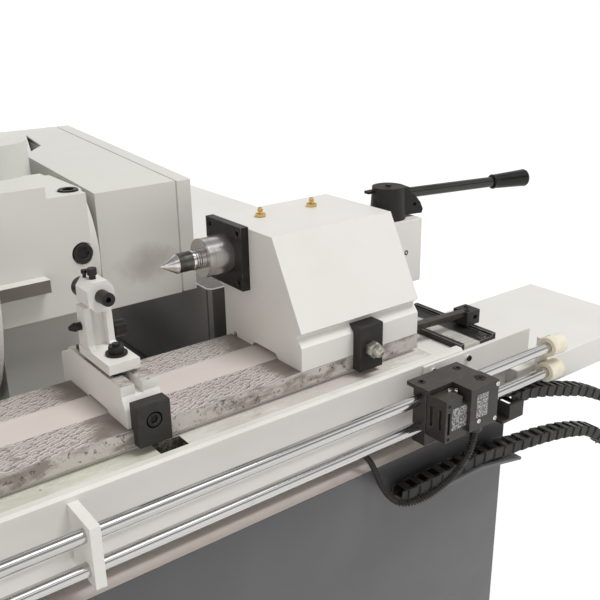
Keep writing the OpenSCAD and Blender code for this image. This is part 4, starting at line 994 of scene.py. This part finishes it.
def studio_world(strength):
    """Even light, and for the eye a white wall, a grey ceiling and one lit panel in it."""
    world = bpy.data.worlds.new("studio")
    bpy.context.scene.world = world
    world.use_nodes = True
    world.node_tree.nodes.clear()
    g = Graph(world.node_tree)
    height = g.axes(g.add("ShaderNodeTexCoord").outputs["Generated"])[2]
    panel = g.maths("MULTIPLY", g.step(height, 0.5, 0.56), g.step(height, 0.8, 0.72))
    studio = g.mix(g.step(height, 0.16, 0.3), (1.0, 1.0, 1.0), (0.34, 0.34, 0.35))
    studio = g.mix(panel, studio, (1.0, 1.0, 1.0))
    sky = g.fill(g.add("ShaderNodeBackground"), Color=(1.0, 1.0, 1.0), Strength=strength)
    white = g.fill(g.add("ShaderNodeBackground"), Color=studio, Strength=1.0)
    choice = g.feed(g.add("ShaderNodeMixShader"), (g.seen(), sky.outputs[0], white.outputs[0]))
    g.feed(g.add("ShaderNodeOutputWorld"), (choice.outputs[0],))


def sun(name, strength, direction, spread, colour):
    """A lamp far off, as wide as its spread in degrees."""
    lamp = bpy.data.lights.new(name, "SUN")
    lamp.energy, lamp.angle, lamp.color = strength, math.radians(spread), colour
    thing = into_scene(name, lamp)
    thing.rotation_mode = "QUATERNION"
    thing.rotation_quaternion = Vector(direction).to_track_quat("-Z", "Y")
    return thing


def main_camera():
    """The camera in front of the tailstock's left end, looking down along the table."""
    camera = bpy.data.cameras.new("camera")
    camera.sensor_width, camera.lens = SENSOR_WIDTH, LENS
    camera.clip_start, camera.clip_end = 0.05, 200.0
    yaw, dip, roll = (math.radians(a) for a in (CAMERA_YAW, CAMERA_DIP, CAMERA_ROLL))
    right = Vector((math.cos(yaw), -math.sin(yaw), 0))
    ahead = Vector((math.sin(yaw) * math.cos(dip), math.cos(yaw) * math.cos(dip), -math.sin(dip)))
    up = right.cross(ahead)
    side = math.cos(roll) * right + math.sin(roll) * up
    top = -math.sin(roll) * right + math.cos(roll) * up
    place = Matrix((side, top, -ahead)).transposed().to_4x4()
    place.translation = at(*CAMERA_AT)
    thing = into_scene("camera", camera)
    thing.matrix_world = place
    bpy.context.scene.camera = thing


class GRINDER_OT_stage(bpy.types.Operator):
    """Sets the floor, the lamps, the world and the camera."""

    bl_idname = "grinder.stage"
    bl_label = "Stage"

    def execute(self, context):
        light = context.scene.grinder_light
        context.scene.view_settings.view_transform = "Standard"
        floor = studio_floor(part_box("levelling_feet")[0].z)
        studio_world(light.sky)
        # the key lamp lights matt surfaces; its glint on metal comes from a gentler twin
        sun("key_lamp", light.key, *KEY_LAMP).visible_glossy = False
        sun("key_glint", light.glint, *KEY_LAMP).visible_diffuse = False
        sun("warm_fill", light.fill, *FILL_LAMP)
        main_camera()
        return {"FINISHED"}


# ---------------------------------------------------------------- the pieces


class GRINDER_OT_conduit(bpy.types.Operator):
    """Ribbed conduit of the interlock switch and its plain cable."""

    bl_idname = "grinder.conduit"
    bl_label = "Switch conduit"

    def execute(self, context):
        line = smooth_path([at(*p) for p in CONDUIT_ROUTE])
        # ribbed for most of its way and then a plain cable; sizes in metres
        tube = run_tree(poly_line("switch_conduit_hose", line), "Ribbed Tube", Diameter=0.0116,
                        End_Diameter=0.0084, Rib_Pitch=0.0038, Rib_Depth=0.0013,
                        Ribbed_Share=0.63, Finish=mat("rubber_black"))
        stand_for(tube, "switch_conduit")
        return {"FINISHED"}


class GRINDER_OT_base(bpy.types.Operator):
    """Base casting with its ways, feet, rear cabinet and its lid."""

    bl_idname = "grinder.base"
    bl_label = "Base and cabinet"

    def execute(self, context):
        ways_z, ledge_z, ledge_y = -150, -160, -13
        cabinet_top = local_mm(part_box("right_cabinet")[1]).z
        rim_depth, rim_end_x = 3, 520

        def plinth(c, n):
            if c.z > ways_z:
                return "bright_steel"
            # level faces of the front ledge are made pale beige, much lighter than the dark base
            # round them
            ledge = level(n) and c.z > ledge_z and c.y < ledge_y
            return "ledge_beige" if ledge else "base_enamel"

        def sides(c, n):
            # left faces are painted lighter than the front, a painted sheen
            if n.x < -0.5:
                return "cabinet_edge" if n.y < -0.5 else "cabinet_enamel"
            return "cabinet_front"

        def rim(c, n, finish):
            outside = c.z < cabinet_top - rim_depth or c.x > rim_end_x
            return "cabinet_front" if finish == "edge_white" and outside else finish

        # the wide top face is cut beside the ledge, so that each side has its own finish
        cad_copy("base_plinth", "base_enamel", "bright_steel", "ledge_beige", choose=plinth,
                 radius=arris("casting", 1.5), cuts=[((0, ledge_y - 1, 0), (0, 1, 0))])
        cad_copy("levelling_feet", "plain_iron", radius=1.5)
        cad_copy("right_cabinet", "cabinet_enamel", "cabinet_edge", "cabinet_front", "edge_white",
                 radius=arris("sheet"), edge="edge_white", choose=sides, again=rim)
        cad_copy("right_cabinet_lid", "white_enamel", radius=arris("sheet", 0.5))
        cad_copy("chain_tray", "base_enamel")
        return {"FINISHED"}


class GRINDER_OT_controls(bpy.types.Operator):
    """Operator's panel with its two buttons, and the two handwheels."""

    bl_idname = "grinder.controls"
    bl_label = "Controls"

    def execute(self, context):
        cad_copy("control_panel", "white_enamel", radius=arris("sheet", 1.5))
        cad_copy("start_button", "green_cap", radius=1.2)
        cad_copy("stop_button", "red_cap", radius=2.0)
        grip_length = 66
        for node in ("table_handwheel", "infeed_handwheel"):
            grip_end = local_mm(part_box(node)[0]).y + grip_length
            cad_copy(node, "chrome", "grip_black", radius=0.6, steps=2,
                     choose=lambda c, n, end=grip_end: "grip_black" if c.y < end else "chrome")
        return {"FINISHED"}


class GRINDER_OT_lower_table(bpy.types.Operator):
    """Lower table casting, way covers, front screen, rod brackets and the chain's angle."""

    bl_idname = "grinder.lower_table"
    bl_label = "Lower table"

    def execute(self, context):
        # the drain pocket, the gutter it is sunk in, the gutter's front lip and, behind it, the
        # ground faces under the upper table
        pocket_front, pocket_back, pocket_top = -25, 2, -29
        gutter_front, gutter_back, gutter_floor, gutter_top = -24.5, 7, -46, -27
        lip_back, lip_floor = -23, -30
        ground_front, ground_floor = 0, -24

        def parts(c, n):
            over_drain = DRAIN_X[0] < c.x < DRAIN_X[1] and pocket_front < c.y < pocket_back
            if over_drain and c.z < pocket_top:
                return "sludge"
            if gutter_front < c.y < gutter_back and gutter_floor < c.z <= gutter_top:
                return "stained_ledge"
            # the lip takes the darker copy: painted shade
            if c.y < lip_back and c.z > lip_floor:
                return "lip_enamel"
            if c.y > ground_front and c.z > ground_floor:
                return "ground_side"
            return "white_enamel"

        cad_copy("lower_table", "white_enamel", "stained_ledge", "sludge", "lip_enamel",
                 "ground_side", choose=parts, radius=2.0, angle=25)
        cad_copy("way_guards", "white_enamel", radius=arris("sheet"))
        # plates that close the covers' ends beside the casting
        low, high = (local_mm(corner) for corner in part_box("lower_table"))
        gap, thick = 0.2, 3
        bm = bmesh.new()
        for x in (low.x - gap - thick, high.x + gap):
            slab(bm, (x, -52.9, -132.6), (x + thick, -30, -92.1), 0.3)
        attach(object_from("guard_end_plates", bm, ("white_enamel",)), "table")
        cad_copy("front_screen", "white_enamel", radius=0.9)
        cad_copy("rod_brackets", "white_enamel", radius=arris("sheet", 0.5))
        cad_copy("chain_bracket", "black_oxide", radius=arris("machined"))
        heads("screen_screws", "head_flat", "table",
              [((266, -46.5, -40), FRONT), ((195.5, -46.5, -40), FRONT, 0.4)], 9, 2.4,
              "screw_black")
        return {"FINISHED"}


class GRINDER_OT_upper_table(bpy.types.Operator):
    """Upper table with its scraped strips and painted middle."""

    bl_idname = "grinder.upper_table"
    bl_label = "Upper table"

    def execute(self, context):
        # the painted strip lies a little below the scraped ones
        strip_front, strip_back, strip_top, strip_floor = 50, 117, -1, -2

        def parts(c, n):
            if level(n):
                return "strip_enamel" if c.z < strip_top else "scraped_iron"
            strip = strip_front < c.y < strip_back and c.z > strip_floor
            return "strip_enamel" if strip else "ground_side"

        cad_copy("upper_table", "scraped_iron", "strip_enamel", "ground_side", "ground_edge",
                 choose=parts, radius=0.7, steps=2, angle=60, edge="ground_edge")
        return {"FINISHED"}


class GRINDER_OT_rods(bpy.types.Operator):
    """Guide rods and the nylon bushes at their ends."""

    bl_idname = "grinder.rods"
    bl_label = "Guide rods"

    def execute(self, context):
        cad_copy("guide_rods", "chrome")
        cad_copy("rod_bushes", "nylon", radius=1.2)
        return {"FINISHED"}


class GRINDER_OT_swivel_scale(bpy.types.Operator):
    """Scale bars, graduated plate, pointer arm and adjusting block."""

    bl_idname = "grinder.swivel_scale"
    bl_label = "Swivel scale"

    def execute(self, context):
        # the bars' rounded arrises are painted light: a painted highlight, partly wear
        cad_copy("scale_bars", "black_oxide", "bright_edge", radius=0.5, edge="bright_edge",
                 angle=60)
        cad_copy("scale_plate", "scale_metal", radius=0.4)
        cad_copy("swivel_arm", "arm_iron", radius=0.6)
        cad_copy("adjuster_block", "black_oxide")
        low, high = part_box("scale_plate")
        line = poly_line("scale_marks", [(low.x, low.y, high.z), (high.x, low.y, high.z)])
        run_tree(line, "Graduations", Start=(low.x + 0.004, low.y + 0.02, high.z + 0.0001),
                 Spacing=0.0025, Count=58, Length=0.004, Long_Length=0.0085, Line_Width=0.0006,
                 Finish=mat("screw_black"))
        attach(line, "table")
        heads("scale_screws", "head_flat", "table", [((341, -4, -36), UP)], 13.6, 0.2,
              "screw_black")
        heads("adjuster_screws", "head_flat", "swivel",
              [((353, 37, -13.4), UP), ((366, 50, -13.4), UP, 0.3)], 8.4, 2.2, "screw_black")
        return {"FINISHED"}


class GRINDER_OT_energy_chain(bpy.types.Operator):
    """Energy chain, link by link along its line."""

    bl_idname = "grinder.energy_chain"
    bl_label = "Energy chain"

    def execute(self, context):
        # one link of unit size: two side plates, each with a lap, and a bar above and below
        lap_height = 0.84
        bm = bmesh.new()
        for side in (-1, 1):
            for x0, x1, y in ((-0.62, 0.12, 0.44), (-0.12, 0.62, 0.38)):
                for v in bmesh.ops.create_cube(bm, size=1.0)["verts"]:
                    lapped = (v.co.x > 0) == (x1 > 0.5)
                    v.co = Vector(((x0 + x1) / 2 + v.co.x * (x1 - x0), side * (y + v.co.y * 0.1),
                                   v.co.z * (lap_height if lapped else 1.0)))
            for v in bmesh.ops.create_cube(bm, size=1.0)["verts"]:
                v.co = Vector((v.co.x * 0.52, v.co.y * 0.94, side * 0.44 + v.co.z * 0.1))
        link = object_from("chain_link", bm)
        bevel = link.modifiers.new("arris", "BEVEL")
        bevel.width, bevel.segments = 0.035, 1
        settle(link)
        path = smooth_path([at(x, CHAIN_Y, z) for x, z in CHAIN_LINE], 6)
        chain = run_tree(poly_line("energy_chain_links", path), "Links On A Line",
                         Template=link, Pitch=0.0222, Width=0.0255, Height=0.0188,
                         Finish=mat("chain_black"))
        stand_for(shade(chain, 30), "energy_chain")
        bpy.data.objects.remove(link)
        return {"FINISHED"}


class GRINDER_OT_tailstock(bpy.types.Operator):
    """Tailstock body, rear block, flange, oilers and clamp."""

    bl_idname = "grinder.tailstock"
    bl_label = "Tailstock"

    def execute(self, context):
        cad_copy("tailstock_body", "white_enamel", radius=arris("casting", 0.6), angle=20)
        cad_copy("tailstock_rear_block", "white_enamel", radius=arris("casting", 0.5))
        cad_copy("quill_flange", "flange_black")
        cad_copy("tailstock_clamp", "black_oxide", radius=1.2)
        flange_x, bolt_offset = -5.2, 34
        corners = [(a * bolt_offset, b * bolt_offset) for a in (-1, 1) for b in (-1, 1)]
        heads("flange_screw_heads", "head_socket", "tailstock",
              [((flange_x, AXIS_Y + a, AXIS_Z + b), LEFT, 0.3 * k)
               for k, (a, b) in enumerate(corners)], 12.6, 6.6, "screw_black",
              node="flange_screws")
        oiler = [(0, -4), (3, -4), (3, 0.02), (6.4, 0.02), (7, 0.6, True), (7, 4.4, True),
                 (6.4, 5), (4.3, 5.2), (3.0, 6.4), (2.9, 7.4), (4.2, 8.4), (4.4, 9.6),
                 (3.4, 10.2), (3.0, 11.2), (3.1, 12.2), (2.4, 13), (0, 13)]
        bm = bmesh.new()
        for x in (50, 140):
            lathe(bm, oiler, 24, Matrix.Translation(at(x, AXIS_Y, 166)))
        stand_for(shade(object_from("oiler_nipples", bm, ("brass",)), 32), "oilers")
        # the first seven bands are the stud and its washer, the rest is the domed nut
        nut = [(0, -38), (6, -38), (6, 0), (12.1, 0.02), (12.5, 0.4), (12.5, 1.1), (12.2, 1.5),
               (9.9, 1.55), (10.1, 2.2, True), (10.1, 9.8, True), (9.5, 11.4), (8.5, 11.5),
               (8.5, 14), (8.2, 16.0), (7.3, 18.6), (5.8, 20.7), (3.6, 22.0), (1.5, 22.45),
               (0, 22.5)]
        bm = lathe(bmesh.new(), nut, 48, facing(at(104.5, -15, 10), FRONT, 0.26),
                   slots=[1] * 7 + [0] * 11)
        stand_for(shade(object_from("clamp_nut", bm, ("nut_satin", "screw_black")), 30),
                  "clamp_bolt")
        wiper = [(27.1, -0.2), (32, -0.2), (32, 1.1), (31.4, 1.6), (28.2, 1.6), (27.1, 1.0),
                 (27.1, -0.2)]
        bm = lathe(bmesh.new(), wiper, 72, facing(at(flange_x, AXIS_Y, AXIS_Z), LEFT))
        bmesh.ops.remove_doubles(bm, verts=bm.verts, dist=1e-6)
        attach(shade(object_from("quill_wiper", bm, ("rubber_black",)), 40), "tailstock")
        # the sunk set screw is painted near-black as the shade of its hole
        heads("block_set_screw", "head_flat", "tailstock", [((258.8, 80.6, 90.2), FRONT)],
              7.5, 1.0, "socket_dark")
        return {"FINISHED"}


class GRINDER_OT_quill(bpy.types.Operator):
    """Quill, dead centre and the spring behind them."""

    bl_idname = "grinder.quill"
    bl_label = "Quill and centre"

    def execute(self, context):
        cad_copy("quill", "turned_steel", radius=arris("machined"), steps=2)
        collar, groove = 13.5, 13.15
        profile = [(0, -80), (9.9, -80), (11.85, -0.3), (13.2, 0.02), (collar, 0.4)]
        for z in (3.2, 6.6, 10.0):
            profile += [(collar, z), (groove, z + 0.3), (groove, z + 0.9), (collar, z + 1.2)]
        profile += [(collar, 14.6), (13.2, 15.2), (13.2, 36.4), (13.4, 37), (1.2, 58.9),
                    (0.5, 59.8), (0, 60)]
        # the three grooves and the band behind the collar are painted dark as their shade
        dark = {5, 6, 7, 9, 10, 11, 13, 14, 15, 18}
        bm = lathe(bmesh.new(), profile, 64, facing(at(-50, AXIS_Y, AXIS_Z), LEFT),
                   slots=[int(k in dark) for k in range(len(profile) - 1)])
        stand_for(shade(object_from("dead_centre_turned", bm, ("bright_steel", "dark_steel")), 28),
                  "dead_centre")
        keep_node("quill_spring", "plain_iron")
        return {"FINISHED"}


class GRINDER_OT_lever(bpy.types.Operator):
    """Hub, bar and grip of the quill lever, on its shaft."""

    bl_idname = "grinder.lever"
    bl_label = "Quill lever"

    def execute(self, context):
        keep_node("lever_shaft", "turned_steel")
        cad_copy("lever_hub", "hub_black", radius=1.4, angle=35)
        cad_copy("lever_bar", "bar_black", radius=arris("machined"))
        cad_copy("lever_grip", "grip_black", radius=0.8, angle=40)
        return {"FINISHED"}


class GRINDER_OT_dresser(bpy.types.Operator):
    """Dresser base, clamp, post, diamond holder and their screws."""

    bl_idname = "grinder.dresser"
    bl_label = "Dresser"

    def execute(self, context):
        # the ground top that the post stands on, in front of the rear slope
        top_low, top_high, top_back = 40, 50, 158

        def base(c, n):
            ground = level(n) and top_low < c.z < top_high and c.y < top_back
            return "ground_side" if ground else "white_enamel"

        cad_copy("dresser_base", "white_enamel", "ground_side", choose=base,
                 radius=arris("casting", 0.45), angle=25)
        cad_copy("dresser_clamp", "black_oxide", radius=1.4)
        cad_copy("dresser_post", "white_casting", radius=1.6, angle=25)
        cad_copy("diamond_holder", "screw_black", radius=0.6)
        cad_copy("dresser_screws", "screw_black", radius=0.5)
        heads("dresser_clamp_screw", "head_socket", "dresser", [((-217.5, -6.2, 12), FRONT)],
              17, 7.8, "screw_black", node="dresser_bolt")
        return {"FINISHED"}


class GRINDER_OT_carriage(bpy.types.Operator):
    """Carriage on the rods with its interlock switch."""

    bl_idname = "grinder.carriage"
    bl_label = "Switch carriage"

    def execute(self, context):
        # the actuator's slots, in the head's left side and in its front, and their height
        slots = (((138.5, 141.5), (-118, -95)), ((141.5, 146.5), (-124.8, -121.5)))
        slots_low, slots_high = -90, -53

        def switch(c, n):
            sunk = any(x[0] < c.x < x[1] and y[0] < c.y < y[1] for x, y in slots)
            # faces inside the actuator's slots are painted near-black as their shade
            if sunk and slots_low < c.z < slots_high:
                return "socket_dark"
            # standing faces get the darker copy: painted shade
            return "switch_side" if upright(n) else "switch_black"

        # the carriage's standing faces get the darker copy too: painted shade
        cad_copy("carriage_block", "switch_black", "switch_side", radius=0.9,
                 choose=lambda c, n: "switch_side" if upright(n) else "switch_black")
        cad_copy("interlock_switch", "switch_black", "socket_dark", "switch_side", choose=switch,
                 radius=0.5, steps=2)
        # bare rating plates
        bm = bmesh.new()
        slab(bm, (148, -125.7, -83), (176.5, -124.9, -52), 0.15)
        slab(bm, (187, -132.6, -75), (209, -131.9, -41), 0.15)
        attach(object_from("switch_plates", bm, ("label_field",)), "carriage")
        heads("switch_screws", "head_ringed", "carriage",
              [((x, -131.8, z), FRONT) for x, z in ((226.5, -35.5), (225, -86), (192.5, -80))],
              6.5, 1.6, "nut_chrome")
        # the small screw heads are painted near-black as the shade in their sockets
        heads("switch_small_screws", "head_flat", "carriage",
              [((138.2, y, z), LEFT) for y in (-99, -114.6) for z in (-48, -88)]
              + [((143, -124.8, z), FRONT) for z in (-46, -94)], 4.5, 0.8, "socket_dark")
        heads("carriage_screws", "head_socket", "carriage",
              [((144.5, -72, -33.5), UP), ((214, -72, -33.5), UP, 0.4)], 11.4, 3.3,
              "screw_black")
        heads("switch_top_screws", "head_flat", "carriage", [((214, -113, -32.0), UP, 0.2)],
              12.5, 1.6, "screw_black")
        heads("switch_notch_screws", "head_socket", "carriage",
              [((163.8, -104, -38), UP), ((171.3, -109.2, -38), UP)], 6.0, 2.4, "nut_chrome")
        return {"FINISHED"}


class GRINDER_OT_wheelhead(bpy.types.Operator):
    """Wheelhead slide, spindle housing, motor, pulleys, belt and belt cover."""

    bl_idname = "grinder.wheelhead"
    bl_label = "Wheelhead"

    def execute(self, context):
        # the ledge on the housing's front, and the triangular sink in the cover's sloping top
        ledge_back = 216
        sink_x, sink_y, sink_floor = (-134, -92), (526, 652), 100

        def housing(c, n):
            return "ledge_dark" if n.y < -0.5 and c.y < ledge_back else "cover_enamel"

        def cover(c, n):
            sunk = (sink_x[0] < c.x < sink_x[1] and sink_y[0] < c.y < sink_y[1]
                    and c.z > sink_floor)
            # the sink's floor is quite level and its walls stand, unlike the top round it
            # the sink's floor and walls are painted darker grey as its shade
            return "recess_grey" if sunk and (n.z > 0.99997 or abs(n.z) < 0.1) else "cover_enamel"

        cad_copy("wheelhead_slide", "grey_enamel", radius=arris("casting", 0.6))
        cad_copy("spindle_housing", "cover_enamel", "ledge_dark", radius=1.4, choose=housing)
        cad_copy("belt_cover", "cover_enamel", "recess_grey", choose=cover, radius=0.9)
        cad_copy("belt_cover_lid", "cover_enamel", radius=arris("sheet", 0.7))
        cad_copy("wheel_motor", "motor_enamel", radius=2.0)
        keep_node("motor_pulley", "plain_iron")
        keep_node("drive_belt", "rubber_black")
        heads("housing_screw_heads", "head_socket", "wheelhead",
              [((-182, 236, 141), FRONT, 0.2), ((-182, 236, 94), FRONT, 0.5),
               ((-182, 258, 214), UP, 0.1)], 27, 8, "screw_black", node="housing_screws")
        return {"FINISHED"}


class GRINDER_OT_wheel(bpy.types.Operator):
    """Grinding wheel on its spindle, inside its guard."""

    bl_idname = "grinder.wheel"
    bl_label = "Grinding wheel"

    def execute(self, context):
        cad_copy("wheel_guard", "white_enamel", radius=arris("sheet"))
        cad_copy("grinding_wheel", "abrasive", radius=1.2)
        cad_copy("wheel_spindle", "turned_steel")
        return {"FINISHED"}


class GRINDER_OT_workhead(bpy.types.Operator):
    """Workhead base, swivelling body and spindle."""

    bl_idname = "grinder.workhead"
    bl_label = "Workhead"

    def execute(self, context):
        cad_copy("workhead_base", "white_enamel", radius=arris("casting"))
        cad_copy("workhead_body", "white_enamel", radius=arris("casting", 1.3))
        cad_copy("workhead_spindle", "turned_steel")
        return {"FINISHED"}


class GRINDER_PT_panel(bpy.types.Panel):
    """Lists the pieces and their settings."""

    bl_label = "Cylindrical grinder"
    bl_idname = "GRINDER_PT_panel"
    bl_space_type = "VIEW_3D"
    bl_region_type = "UI"
    bl_category = "Grinder"

    def draw(self, context):
        scene = context.scene
        for group in (scene.grinder_edges, scene.grinder_colours, scene.grinder_light):
            box = self.layout.box()
            for key in group.bl_rna.properties.keys():
                if key not in {"rna_type", "name"}:
                    box.prop(group, key)
        for kind in PIECES:
            self.layout.operator(kind.bl_idname)


PIECES = (GRINDER_OT_stage, GRINDER_OT_conduit, GRINDER_OT_base, GRINDER_OT_controls,
          GRINDER_OT_lower_table, GRINDER_OT_upper_table, GRINDER_OT_rods,
          GRINDER_OT_swivel_scale, GRINDER_OT_energy_chain, GRINDER_OT_tailstock,
          GRINDER_OT_quill, GRINDER_OT_lever, GRINDER_OT_dresser, GRINDER_OT_carriage,
          GRINDER_OT_wheelhead, GRINDER_OT_wheel, GRINDER_OT_workhead)
CLASSES = (GrinderEdges, GrinderColours, GrinderLight, *PIECES, GRINDER_PT_panel)


def register():
    for kind in CLASSES:
        bpy.utils.register_class(kind)
    bpy.types.Scene.grinder_edges = bpy.props.PointerProperty(type=GrinderEdges)
    bpy.types.Scene.grinder_colours = bpy.props.PointerProperty(type=GrinderColours)
    bpy.types.Scene.grinder_light = bpy.props.PointerProperty(type=GrinderLight)


def unregister():
    del bpy.types.Scene.grinder_light
    del bpy.types.Scene.grinder_colours
    del bpy.types.Scene.grinder_edges
    for kind in reversed(CLASSES):
        bpy.utils.unregister_class(kind)


def main():
    """Builds everything in order."""
    register()
    make_effects()
    make_finishes(bpy.context.scene.grinder_colours)
    make_repeaters()
    make_templates()
    for kind in PIECES:
        group, name = kind.bl_idname.split(".")
        if "FINISHED" not in getattr(getattr(bpy.ops, group), name)():
            raise RuntimeError(f"{kind.bl_label} wasn't finished")
    for name in TEMPLATES:
        bpy.data.objects.remove(bpy.data.objects[name])


if __name__ == "__main__":
    main()
